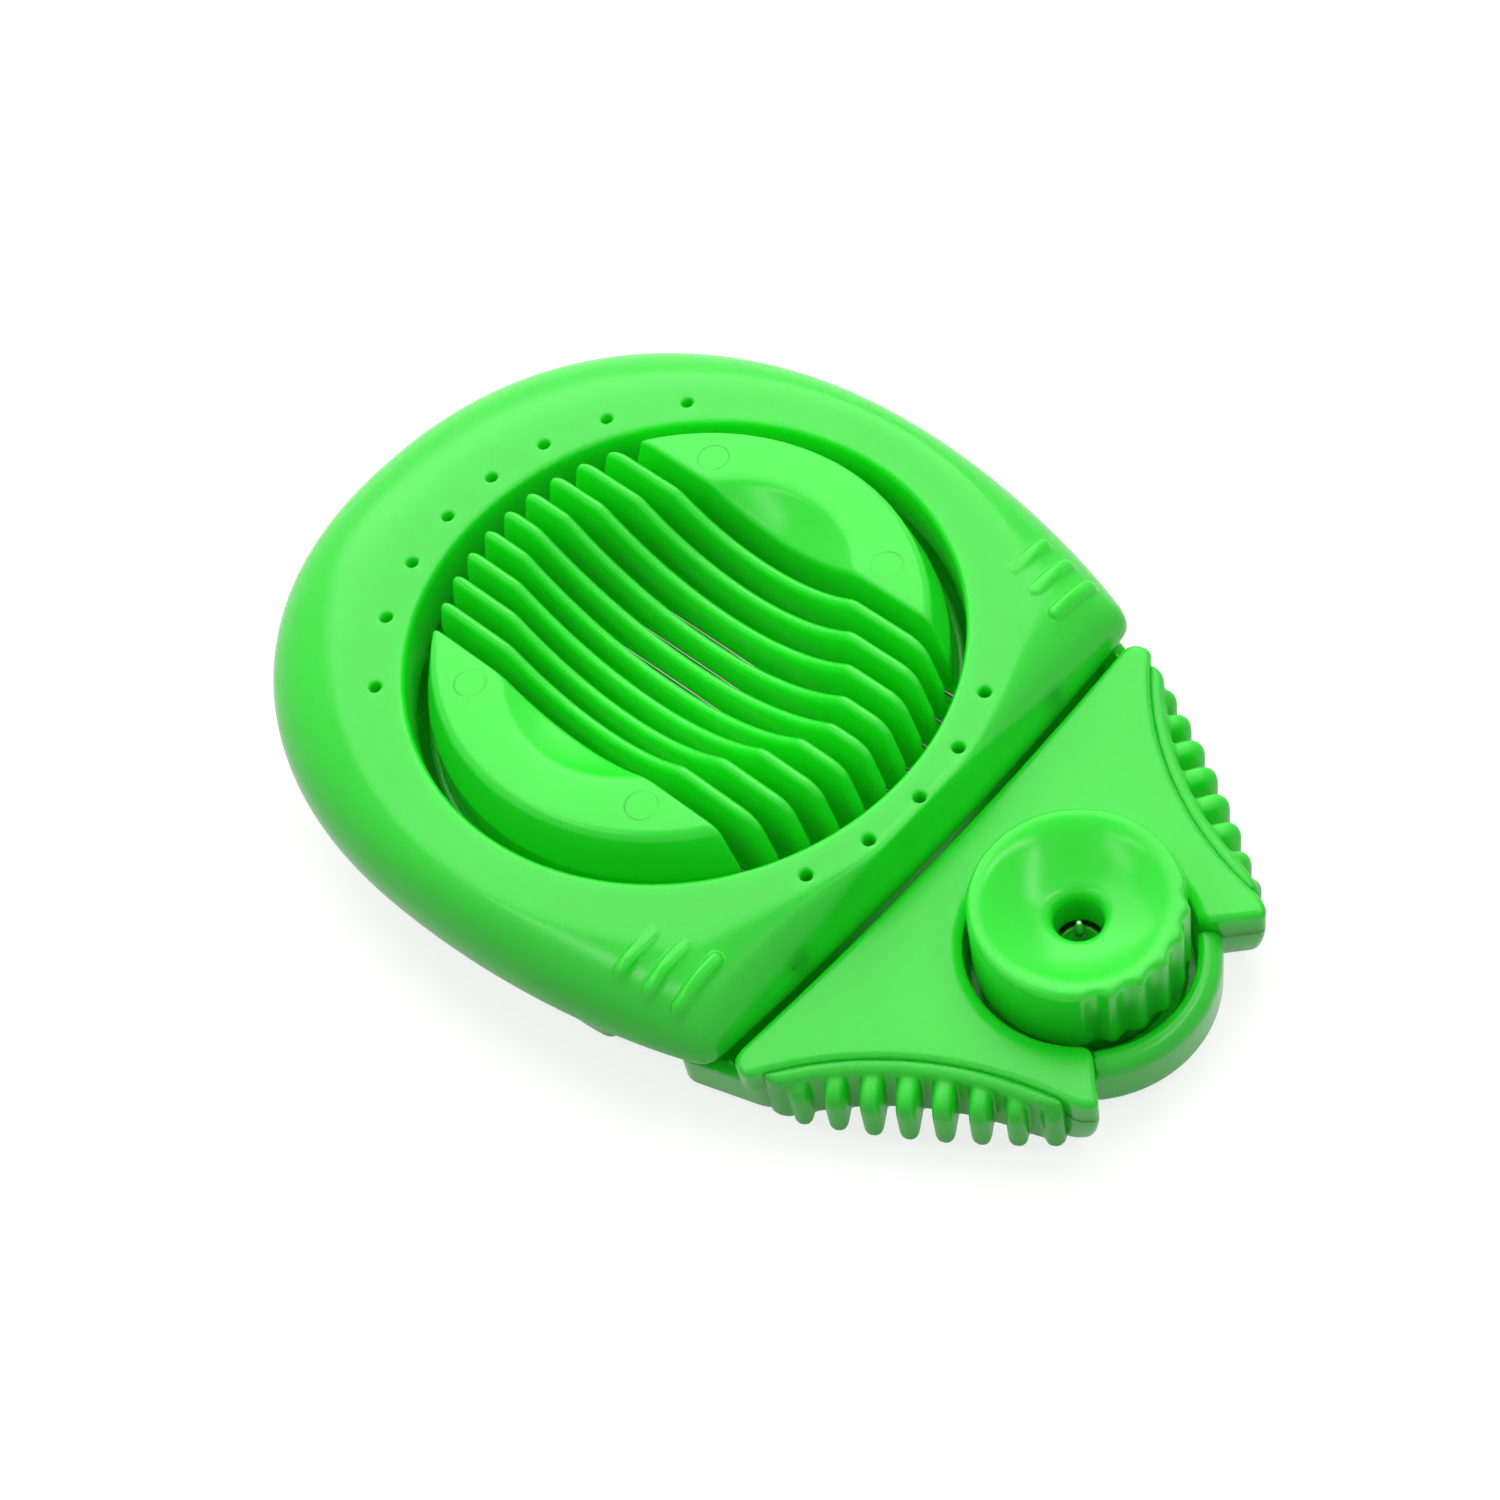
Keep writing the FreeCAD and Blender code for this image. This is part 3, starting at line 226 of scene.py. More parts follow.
def make_world():
    """Dim and even where it lights the object, white where it is seen or reflected."""
    world = bpy.data.worlds.new("world")
    world.use_nodes = True
    tree = world.node_tree
    ground = tree.nodes["Background"]
    ground.inputs["Color"].default_value = (1, 1, 1, 1)
    ground.inputs["Strength"].default_value = WORLD_STRENGTH
    white = tree.nodes.new("ShaderNodeBackground")
    white.inputs["Color"].default_value = (1, 1, 1, 1)
    white.inputs["Strength"].default_value = 1.0
    mix = tree.nodes.new("ShaderNodeMixShader")
    tree.links.new(seen_directly(tree), mix.inputs["Fac"])
    tree.links.new(ground.outputs[0], mix.inputs[1])
    tree.links.new(white.outputs[0], mix.inputs[2])
    tree.links.new(mix.outputs[0], tree.nodes["World Output"].inputs["Surface"])
    SCENE.world = world


def make_lights():
    for name, at, to, size, power in LAMPS:
        area_light(name, at, to, size, power)


# ------------------------------------------------------------------ fields: about millimetres, negative inside
SLAB = 24                                       # grid planes worked out at a time
DRAW_ROUNDS, DRAW_REACH = 3, 0.6                # how often points move, and how far at once, in cells
SLOPE_STEP, SHADING_STEP = 0.03, 0.12           # between the points that a slope is taken from
LEAST_COSINE, BEYOND = 0.3, 1e6                 # of rays that can meet the front edge; radius for the rest


def smooth_max(a, b, k):
    """What is inside both, with the edge between them rounded over a width k."""
    h = np.maximum(k - np.abs(a - b), 0.0) / k
    return np.maximum(a, b) + h * h * k * 0.25


def smooth_min(a, b, k):
    """What is inside either, with the crease between them filled over a width k."""
    return -smooth_max(-a, -b, k)


def gradient(field, points, step=SLOPE_STEP):
    """Slope of a field, by central differences."""
    x, y, z = points.T
    gx = (field(x + step, y, z) - field(x - step, y, z)) / (2 * step)
    gy = (field(x, y + step, z) - field(x, y - step, z)) / (2 * step)
    gz = (field(x, y, z + step) - field(x, y, z - step)) / (2 * step)
    return np.stack([gx, gy, gz], 1)


def sample(field, low, high, cell):
    """Values of a field on a grid over a box, worked out in slabs."""
    counts = [int(math.ceil((h - l) / cell)) + 1 for l, h in zip(low, high)]
    axes = [l + cell * np.arange(n) for l, n in zip(low, counts)]
    values = np.empty(counts, np.float32)
    for start in range(0, counts[0], SLAB):
        x, y, z = np.meshgrid(axes[0][start:start + SLAB], axes[1], axes[2], indexing="ij")
        values[start:start + SLAB] = field(x, y, z)
    return values


def net(values):
    """Surface nets: one point in every cell that the surface crosses, one face for every grid edge it crosses."""
    inside = values < 0
    cells = [n - 1 for n in values.shape]
    total = np.zeros(cells, np.uint8)
    corners = [(i, j, k) for i in (0, 1) for j in (0, 1) for k in (0, 1)]
    for i, j, k in corners:
        total += inside[i:i + cells[0], j:j + cells[1], k:k + cells[2]]
    active = (total > 0) & (total < 8)
    where = np.argwhere(active)
    number = np.full(cells, -1, np.int32)
    number[active] = np.arange(len(where))
    corners = np.array(corners)
    at = where[:, None, :] + corners[None]
    value = values[at[..., 0], at[..., 1], at[..., 2]].astype(float)
    summed = np.zeros((len(where), 3))
    crossings = np.zeros(len(where))
    for a in range(8):
        for b in range(a + 1, 8):
            if np.abs(corners[a] - corners[b]).sum() == 1:
                cross = (value[:, a] < 0) != (value[:, b] < 0)
                t = np.where(cross, value[:, a] / np.where(cross, value[:, a] - value[:, b], 1), 0)
                summed += np.where(cross[:, None], corners[a] + t[:, None] * (corners[b] - corners[a]), 0)
                crossings += cross
    faces = []
    for axis in range(3):
        one, two = (axis + 1) % 3, (axis + 2) % 3
        ahead, here = [slice(None)] * 3, [slice(None)] * 3
        ahead[axis] = slice(1, None)
        here[axis] = slice(0, -1)
        edge = np.argwhere(inside[tuple(here)] != inside[tuple(ahead)])
        keep = (edge[:, one] > 0) & (edge[:, two] > 0) & (edge[:, one] < cells[one]) & (edge[:, two] < cells[two])
        edge = edge[keep]
        quad = []
        for d1, d2 in ((1, 1), (0, 1), (0, 0), (1, 0)):
            spot = edge.copy()
            spot[:, one] -= d1
            spot[:, two] -= d2
            quad.append(number[spot[:, 0], spot[:, 1], spot[:, 2]])
        quad = np.stack(quad, 1)
        outward = inside[edge[:, 0], edge[:, 1], edge[:, 2]]
        faces.append(np.where(outward[:, None], quad, quad[:, ::-1]))
    return where + summed / crossings[:, None], np.concatenate(faces)


def drawn_onto(field, points, cell):
    """Moves points onto the field's zero level, a short way at a time."""
    for _ in range(DRAW_ROUNDS):
        slope = gradient(field, points)
        level = field(*points.T)
        move = -(level / np.maximum((slope * slope).sum(1), 0.05))[:, None] * slope
        length = np.linalg.norm(move, axis=1)
        points = points + move * np.minimum(1, DRAW_REACH * cell / np.maximum(length, 1e-9))[:, None]
    return points


def quad_mesh(name, points, faces):
    mesh = bpy.data.meshes.new(name)
    mesh.vertices.add(len(points))
    mesh.vertices.foreach_set("co", (points * MM).astype(np.float32).ravel())
    mesh.loops.add(faces.size)
    mesh.loops.foreach_set("vertex_index", faces.astype(np.int32).ravel())
    mesh.polygons.add(len(faces))
    mesh.polygons.foreach_set("loop_start", np.arange(0, faces.size, 4, dtype=np.int32))
    mesh.polygons.foreach_set("loop_total", np.full(len(faces), 4, np.int32))
    mesh.update(calc_edges=True)
    mesh.validate()
    return mesh


def thinned(mesh, triangles):
    """The same mesh with fewer faces, kept dense where it curves."""
    count = 2 * len(mesh.polygons)
    if count <= triangles:
        return mesh
    holder = bpy.data.objects.new("thinning", mesh)
    SCENE.collection.objects.link(holder)
    modifier = holder.modifiers.new("thin", "DECIMATE")
    modifier.ratio = triangles / count
    thin = bpy.data.meshes.new_from_object(holder.evaluated_get(bpy.context.evaluated_depsgraph_get()))
    bpy.data.objects.remove(holder)
    return thin


def smoothed(mesh):
    mesh.polygons.foreach_set("use_smooth", np.ones(len(mesh.polygons), bool))
    return mesh


def piece_from(name, mesh, body, nodes, slot, material):
    mesh.name = name
    piece = bpy.data.objects.new(name, mesh)
    SCENE.collection.objects.link(piece)
    mesh.materials.clear()
    mesh.materials.append(material)
    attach(piece, body)
    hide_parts(*nodes)


def moulded(name, field, low, high, cell, triangles):
    """Mesh of a field's zero level, shaded with the field's own slope."""
    points, faces = net(sample(field, low, high, cell))
    points = drawn_onto(field, points * cell + np.array(low), cell)
    mesh = smoothed(thinned(quad_mesh(name, points, faces), triangles))
    spots = np.empty(3 * len(mesh.vertices))
    mesh.vertices.foreach_get("co", spots)
    slope = gradient(field, spots.reshape(-1, 3) / MM, SHADING_STEP)
    slope /= np.maximum(np.linalg.norm(slope, axis=1), 1e-9)[:, None]
    shading = mesh.attributes.new("custom_normal", "FLOAT_VECTOR", "POINT")
    shading.data.foreach_set("vector", slope.astype(np.float32).ravel())
    mesh.update()
    return mesh


# ------------------------------------------------------------------ wire frame
def egg_radius(cosine, sine):
    """Distance from the egg's centre to its outline, blunter towards the rear."""
    across = np.abs(sine) / EGG_HALF
    along = np.abs(cosine)
    wide = ((along / EGG_REAR) ** EGG_POWER + across ** EGG_POWER) ** (-1 / EGG_POWER)
    return np.where(cosine < 0, wide, 1 / np.hypot(along / EGG_FRONT, across))


def front_edge_x(y, front):
    return front - FRONT_BOW * (y / EGG_HALF) ** 2


def front_radius(cosine, sine, front):
    """Distance from the egg's centre to the hinge-side edge."""
    safe = np.maximum(cosine, LEAST_COSINE)
    y = np.minimum(np.abs((front - EGG_X) * sine / safe), EGG_HALF)
    return np.where(cosine < LEAST_COSINE, BEYOND, (front_edge_x(y, front) - EGG_X) / safe)


def rounded_min(a, b):
    """The smaller of two radii, with the corner between their outlines rounded."""
    low, high = np.minimum(a, b), np.maximum(a, b)
    return low * (1 + (low / high) ** CORNER_POWER) ** (-1 / CORNER_POWER)


def dome(x, y, z, inset, top):
    """The frame's outside, or its inside when drawn in: flat in the middle, a quarter ellipse to the edge."""
    dx = x - EGG_X
    r = np.maximum(np.hypot(dx, y), 1e-6)
    cosine, sine = dx / r, y / r
    edge = rounded_min(egg_radius(cosine, sine) - inset, front_radius(cosine, sine, FRONT_X - inset))
    shift = RING_X - EGG_X
    circle = shift * cosine + np.sqrt(np.maximum((CREST_R - inset) ** 2 - (shift * sine) ** 2, 1))
    crest = rounded_min(circle, front_radius(cosine, sine, FRONT_X - CREST_SETBACK - inset))
    width = np.maximum(edge - crest, 0.4)
    s = np.maximum((r - crest) / width, 0)
    t = np.maximum((z - (top - DOME_DROP)) / DOME_DROP, 0)
    slope = 2 * np.hypot(s / width, t / DOME_DROP)
    return np.maximum((s * s + t * t - 1) / np.maximum(slope, 0.02), -6)


def hole_spots():
    """The small holes round the ring: pairs beside the middle line, and one on it at the hinge."""
    spots = []
    for angles, way in ((WIDE_HOLE_ANGLES, -1), (HINGE_HOLE_ANGLES, 1)):
        for angle in angles:
            turn = math.radians(angle)
            for side in ((-1, 1) if angle else (1,)):
                spots.append((RING_X + way * HOLE_CIRCLE_R * math.cos(turn),
                              side * HOLE_CIRCLE_R * math.sin(turn)))
    return spots


def lug_pocket(x, ay, z):
    """Room in the frame for each hinge lug, its eye and the arm behind it."""
    rise, ahead = z - HINGE_Z, x - HINGE_X
    slot = np.minimum(np.maximum(ahead, rise - POCKET_RISE), rise)
    pocket = np.minimum(np.hypot(ahead, rise) - EYE_R - LUG_PLAY, slot)
    pocket = np.maximum(pocket, np.maximum(ahead - EYE_FRONT - LUG_PLAY, -ahead - POCKET_BACK))
    return np.maximum(pocket, np.abs(ay - HINGE_Y) - LUG_W / 2 - LUG_PLAY)


def wire_frame(x, y, z):
    outer = dome(x, y, z, FRAME_EDGE, RING_Z - FRAME_EDGE) - FRAME_EDGE
    ring_r = np.hypot(x - RING_X, y)
    ay = np.abs(y)
    body = outer
    for bar_x, y0, y1 in GRIP_BARS:
        past = np.maximum(np.maximum(y0 - ay, ay - y1), 0)
        bar = smooth_max(np.hypot(x - bar_x, past) - BAR_HALF, outer - BAR_RISE, 0.8)
        body = smooth_min(body, bar, 0.3)
    body = smooth_max(body, OPENING_R - ring_r, 1.2)
    body = smooth_max(body, z - RING_Z, 0.5)
    lean = (x - HINGE_X) * math.sin(OPEN_ANGLE) - (z - HINGE_Z) * math.cos(OPEN_ANGLE)
    body = smooth_max(body, lean - (HINGE_Z - COVER_Z - OPEN_PLAY), 0.3)
    body = smooth_max(body, SKIRT_Z - z, 0.6)
    inner = dome(x, y, z, FRAME_WALL, RING_Z - FRAME_WALL)
    inner = np.maximum(inner, np.minimum(OPENING_R + COLLAR_T - ring_r, z - CLAMP_Z - SEAT))
    body = smooth_max(body, -inner, 0.3)
    off_lug = np.abs(ay - HINGE_Y) - LUG_W / 2 - GAP
    knuckle = np.maximum(np.hypot(x - HINGE_X, z - HINGE_Z) - EAR_R, off_lug - KNUCKLE_W)
    body = smooth_min(body, np.maximum(knuckle, outer + KNUCKLE_SINK), 0.3)
    body = smooth_max(body, -lug_pocket(x, ay, z), 0.12)
    hole = np.full_like(body, FAR)
    for hx, hy in hole_spots():
        hole = np.minimum(hole, np.hypot(x - hx, y - hy) - HOLE_R)
    boss = np.maximum(hole - HOLE_WALL, np.maximum(HOLE_FLOOR_Z - HOLE_WALL - z, z - RING_Z + LAP))
    body = np.minimum(body, np.maximum(boss, inner - HOLE_SINK))
    return smooth_max(body, -np.maximum(hole, HOLE_FLOOR_Z - z), 0.4)


# ------------------------------------------------------------------ egg cradle
def cradle(x, y, z):
    r = np.hypot(x - RING_X, y)
    ay = np.abs(y)
    lean = (CRADLE_FOOT_R - CRADLE_R) / (SHOULDER_Z - CRADLE_DRAFT_Z)
    envelope = r - CRADLE_FOOT_R + lean * np.maximum(z - CRADLE_DRAFT_Z, 0)
    body = np.full_like(x, FAR)
    for k, depth in enumerate(VALLEY_DEPTHS):
        half = VALLEY_HALF - VALLEY_FALL * math.hypot(k * SLAT_PITCH, VALLEY_BLUNT)
        radius = (half * half + depth * depth) / (2 * depth)
        scoop = radius - np.hypot(x - VALLEY_X, z - (SHOULDER_Z - depth + radius))
        top = smooth_max(scoop, z - SHOULDER_Z, 0.5)
        profile = smooth_max(top, envelope, 2.2)
        side = np.abs(ay - k * SLAT_PITCH) - SLAT_T / 2
        body = np.minimum(body, smooth_max(profile, side, 1.15))
    dish = DISH_R - np.sqrt((x - VALLEY_X) ** 2 + (ay - DISH_Y) ** 2 + (z - SHOULDER_Z - DISH_RISE) ** 2)
    block = smooth_max(dish, z - SHOULDER_Z, 0.7)
    block = smooth_max(block, envelope, 1.2)
    body = np.minimum(body, smooth_max(block, BLOCK_Y - ay, 0.7))
    plate = smooth_max(r - PLATE_R, z - PLATE_Z, 0.5)
    plate = smooth_max(plate, PLATE_Z - PLATE_T - z, 0.5)
    body = smooth_min(np.maximum(body, PLATE_Z - LAP - z), plate, 0.8)
    for bx, by in CRADLE_SCREW_SPOTS:
        axis = np.hypot(x - bx, y - by)
        boss = np.maximum(axis - CRADLE_BOSS_R, np.maximum(TRAY_FLOOR_Z - z, z - PLATE_Z + LAP))
        body = smooth_min(body, boss, 0.4)
        body = np.maximum(body, -np.maximum(axis - SCREW_R, z - PLATE_Z + CRADLE_BLIND))
    return body


# ------------------------------------------------------------------ rear body
def flank_circle():
    """Centre and radius of the hollow flank's arc, the way out from its chord, and the chord's length."""
    (ax, ay), (bx, by) = FLANK_START, FLANK_END
    length = math.dist(FLANK_START, FLANK_END)
    nx, ny = (ay - by) / length, (bx - ax) / length
    radius = (length * length / 4 + FLANK_SAG * FLANK_SAG) / (2 * FLANK_SAG)
    out = radius - FLANK_SAG
    return (ax + bx) / 2 + nx * out, (ay + by) / 2 + ny * out, radius, nx, ny, length


CIRCLE_X, CIRCLE_Y, CIRCLE_R, OUT_X, OUT_Y, CHORD = flank_circle()


def through(a, b, x, y):
    """Signed distance to the line from a to b, positive on its left."""
    length = math.dist(a, b)
    return ((b[0] - a[0]) * (y - a[1]) - (b[1] - a[1]) * (x - a[0])) / length


def tail_plan(x, ay, tail_r):
    """Flank and tail of the rear body, for the half with positive y."""
    angle = math.radians(TAIL_ANGLE)
    corner = (KNOB_X + tail_r * math.cos(angle), tail_r * math.sin(angle))
    flank = CIRCLE_R - np.hypot(x - CIRCLE_X, ay - CIRCLE_Y)
    face = (x - KNOB_X) * math.sin(angle) - ay * math.cos(angle)
    tip = -through(corner, FLANK_END, x, ay)
    return flank, smooth_max(face, tip, 1.0)


def rear_cover(x, y, z):
    ay = np.abs(y)
    knob_r = np.hypot(x - KNOB_X, y)
    flank, tail = tail_plan(x, ay, TAIL_OUT_R)
    front = smooth_max(front_edge_x(ay, COVER_FRONT_X + SEAT) - x, ay - COVER_HALF + SEAT, 2.6)
    plan = smooth_max(smooth_max(front, flank + SEAT, 0.7), tail + SEAT, 1.0)
    body = smooth_max(plan, z - COVER_Z, 0.9)
    body = smooth_max(body, COVER_LIP_Z - LIP_LAP - z, 0.12)
    inner = np.maximum(plan + COVER_T, z - COVER_Z + COVER_T)
    inner = np.maximum(inner, RECESS_R + RECESS_WALL - knob_r)
    body = smooth_max(body, -inner, 0.3)
    body = smooth_max(body, RECESS_R + MOUTH_PLAY - knob_r, 2.3)
    for bx, by in COVER_SCREW_SPOTS:
        axis = np.hypot(x - bx, y - by)
        boss = np.maximum(axis - COVER_BOSS_R, np.maximum(COVER_LIP_Z - z, z - COVER_Z + LAP))
        body = np.minimum(body, np.maximum(boss, -np.maximum(axis - SCREW_R, z - COVER_Z + COVER_BLIND)))
    return body


def tray_pan(x, y):
    """Plan of the pan under the frame: the egg drawn in, a little less towards the front."""
    dx = x - EGG_X
    r = np.maximum(np.hypot(dx, y), 1e-6)
    turn = np.degrees(np.arccos(np.clip(-dx / r, -1, 1)))
    near = np.clip((turn - PAN_FLARE_FROM) / PAN_FLARE_OVER, 0, 1)
    draw_in = PAN_INSET - (PAN_INSET - PAN_FLARE_INSET) * near * near * (3 - 2 * near)
    pan = r - egg_radius(dx / r, y / r) + draw_in
    end = math.radians(180 - PAN_END_ANGLE)
    end_r = 1 / math.hypot(math.cos(end) / EGG_FRONT, math.sin(end) / EGG_HALF) - PAN_FLARE_INSET
    return smooth_max(pan, x - EGG_X - end_r * math.cos(end), 1.5)


def hinge_lug(x, ay, z):
    """Stem on the tray's floor, arm from its top towards the pin, and the eye at the pin."""
    rise, ahead = z - HINGE_Z, x - HINGE_X
    arm = np.maximum(np.abs(rise - ARM_RISE) - ARM_HALF, np.maximum(-ARM_BACK - ahead, ahead))
    stem_top = rise - ARM_RISE - ARM_HALF
    stem = np.maximum(np.abs(ahead + STEM_BACK) - STEM_HALF, np.maximum(stem_top, BASE_Z + LAP - z))
    eye = np.maximum(np.hypot(ahead, rise) - EYE_R, np.maximum(ahead, -rise) - EYE_FRONT)
    lug = np.minimum(eye, smooth_min(arm, stem, 0.8))
    return smooth_max(lug, np.abs(ay - HINGE_Y) - LUG_W / 2, 0.12)


def tray_cuts(x, y, z, knob_r):
    """Holes from below: screws with their heads, feet, and the stub of the needle's post."""
    cut = knob_r - HOLDER_STUB_R
    for bx, by in COVER_SCREW_SPOTS + CRADLE_SCREW_SPOTS:
        axis = np.hypot(x - bx, y - by)
        cut = np.minimum(cut, axis - SCREW_R - GAP)
        cut = np.minimum(cut, np.maximum(axis - SCREW_HEAD_R - GAP, z - BASE_Z - SCREW_HEAD_H - SEAT))
    for bx, by in FOOT_SPOTS.values():
        cut = np.minimum(cut, np.maximum(np.hypot(x - bx, y - by) - FOOT_R, z - BASE_Z - FOOT_SEAT))
    return cut


def base_tray(x, y, z):
    ay = np.abs(y)
    neck = np.maximum(ay - NECK_HALF, np.maximum(NECK_X - x, x - HINGE_X))
    front = smooth_min(tray_pan(x, y), neck, 1.5)
    flank, tail = tail_plan(x, ay, TAIL_OUT_R)
    tail += SEAT
    ledge = smooth_max(through(LEDGE[0], LEDGE[1], x, ay), through(LEDGE[1], LEDGE[2], x, ay), 1.2)
    ledge = np.maximum(ledge, LEDGE[0][0] - x)
    rear = smooth_max(smooth_max(ledge, flank, 1.0), tail + TAIL_DRAW * np.maximum(COVER_LIP_Z - z, 0) ** 2, 1.0)
    body = smooth_min(smooth_max(front, z - RIM_Z, 0.6), smooth_max(rear, z - COVER_LIP_Z, 0.12), 0.6)
    hollow = np.maximum(np.minimum(front, rear) + WALL, TRAY_FLOOR_Z - z)
    body = smooth_max(body, -hollow, 0.5)
    knob_r = np.hypot(x - KNOB_X, y)
    well = np.maximum(knob_r - RECESS_R - RECESS_WALL, z - COVER_LIP_Z + SEAT)
    turn = math.radians(NOSE_ANGLE)
    wedge = ay * math.cos(turn) - (x - KNOB_X) * math.sin(turn)
    nose = smooth_max(smooth_max(knob_r - NOSE_R, z - NOSE_Z, 2.4), wedge, 0.2)
    body = smooth_min(np.minimum(body, well), nose, 0.4)
    cross = np.maximum(np.abs(x - CROSS_X) - CROSS_HALF, ay - CROSS_END)
    body = smooth_min(body, np.maximum(cross, z - COVER_LIP_Z), 0.3)
    for bx, by in COVER_SCREW_SPOTS:
        post = np.hypot(x - bx, y - by) - COVER_BOSS_R - POST_EXTRA
        body = smooth_min(body, np.maximum(post, z - COVER_LIP_Z), 0.3)
    body = smooth_min(body, hinge_lug(x, ay, z), 0.3)
    body = smooth_max(body, -np.maximum(knob_r - RECESS_R - MOUTH_PLAY, TRAY_FLOOR_Z - z), 1.1)
    guide = np.abs(knob_r - COLLAR_OUT_R - GAP - GUIDE_HALF) - GUIDE_HALF
    guide = np.maximum(guide, np.maximum(z - TRAY_FLOOR_Z - GUIDE_H, TRAY_FLOOR_Z - GUIDE_SINK - z))
    body = smooth_min(body, guide, 0.2)
    body = smooth_max(body, BASE_Z - z, 1.3)
    return smooth_max(body, -tray_cuts(x, y, z, knob_r), 0.3)


# ------------------------------------------------------------------ grips
def side_grip(x, y, z):
    """Right-hand grip: a bead along the hollow flank, with upright ribs that bulge from under it."""
    along = (x - FLANK_START[0]) * OUT_Y - (y - FLANK_START[1]) * OUT_X
    out = (x - FLANK_START[0]) * OUT_X + (y - FLANK_START[1]) * OUT_Y
    from_flank = CIRCLE_R - np.hypot(x - CIRCLE_X, y - CIRCLE_Y)
    share = np.maximum(np.clip((along - CHORD + GRIP_TAPER) / GRIP_TAPER, 0, 1),
                       np.clip(1 - along / GRIP_START, 0, 1))
    outer = GRIP_LIP - (GRIP_LIP - GRIP_END) * share * share
    bead = smooth_max(-GRIP_SINK - from_flank, from_flank - outer, 0.3)
    body = smooth_max(bead, z - GRIP_TOP_Z, 1.1)
    body = smooth_max(body, smooth_max(-along, along - CHORD + GRIP_STOP, 0.5), 0.6)
    for i in range(GRIP_RIBS):
        at = GRIP_FIRST + i * GRIP_PITCH
        reach = GRIP_REACH - GRIP_REACH_FALL * (at - GRIP_REACH_AT) ** 2
        sag = math.sqrt(CIRCLE_R ** 2 - (at - CHORD / 2) ** 2) - (CIRCLE_R - FLANK_SAG)
        depth = reach + sag
        side = np.abs(along - at) - GRIP_RIB_W / 2
        profile = smooth_max(out - reach, z - GRIP_TOP_Z + GRIP_SHOULDER, min(RIB_ROUND, 0.9 * depth))
        profile = smooth_max(profile, GRIP_BOTTOM_Z - z, 0.6)
        rib = smooth_max(profile, side, 1.3)
        body = smooth_min(body, np.maximum(rib, -sag + RIB_SINK - out), 0.45)
    return smooth_max(body, GRIP_BOTTOM_Z - z, 0.5)


def left_grip(x, y, z):
    return side_grip(x, -y, z)


# ------------------------------------------------------------------ piercer
def piercer_knob(x, y, z):
    dx = x - KNOB_X
    r = np.hypot(dx, y)
    bowl_r = (DISH_RIM_R ** 2 + DISH_DEPTH ** 2) / (2 * DISH_DEPTH)
    dish = bowl_r - np.hypot(r, z - (KNOB_TOP_Z - DISH_DEPTH + bowl_r))
    body = smooth_max(smooth_max(r - KNOB_R, z - KNOB_TOP_Z, 1.1), dish, 0.9)
    body = smooth_max(body, KNOB_HOLE_R - r, 1.6)
    for i in range(FLUTES):
        angle = math.radians((i - (FLUTES - 1) / 2) * FLUTE_STEP)
        reach = KNOB_R + FLUTE_OUT * FLUTE_R
        flute = np.hypot(dx - reach * math.cos(angle), y - reach * math.sin(angle)) - FLUTE_R
        body = smooth_max(body, -flute, 0.9)
    roof = KNOB_TOP_Z - DISH_DEPTH - KNOB_ROOF_T
    inner = np.maximum(np.maximum(r - KNOB_R + KNOB_WALL, KNOB_TUBE_R - r), z - roof)
    inner = np.minimum(inner, np.maximum(r - KNOB_R + KNOB_WALL, z - COLLAR_TOP_Z))
    body = smooth_max(body, -inner, 0.3)
    for angle in KEY_ANGLES:
        turn = math.radians(angle)
        u = dx * math.cos(turn) + y * math.sin(turn)
        v = np.abs(-dx * math.sin(turn) + y * math.cos(turn))
        key = np.maximum(COLLAR_OUT_R - KEY_IN - u, u - KNOB_R + KNOB_WALL - KEY_OUT)
        key = np.maximum(key, v - KEY_W / 2)
        body = np.minimum(body, np.maximum(key, z - KNOB_SKIRT_Z - KEY_H))
    return smooth_max(body, KNOB_SKIRT_Z - z, 0.4)


def lathed(profile, centre, steps):
    """Mesh of a profile of (radius, z) turned about an upright axis; its two ends are on the axis."""
    count = len(profile)
    points, faces = [], []
    for i in range(steps):
        angle = 2 * math.pi * i / steps
        for r, z in profile:
            points.append((centre[0] + r * math.cos(angle), centre[1] + r * math.sin(angle), z))
    for i in range(steps):
        j = (i + 1) % steps
        for k in range(count - 1):
            faces.append((i * count + k, j * count + k, j * count + k + 1, i * count + k + 1))
    mesh = bpy.data.meshes.new("lathed")
    mesh.from_pydata([(x * MM, y * MM, z * MM) for x, y, z in points], [], faces)
    mesh.validate()
    return smoothed(mesh)


def hinge_pin(side):
    """Plain pin with rounded ends, across one lug."""
    end = [(r, -PIN_HALF + depth) for r, depth in PIN_END]
    mesh = lathed(end + [(r, -z) for r, z in reversed(end)], (0, 0), PIN_SIDES)
    mesh.transform(Matrix.Translation((HINGE_X * MM, side * HINGE_Y * MM, HINGE_Z * MM))
                   @ Matrix.Rotation(math.pi / 2, 4, "X"))
    return mesh


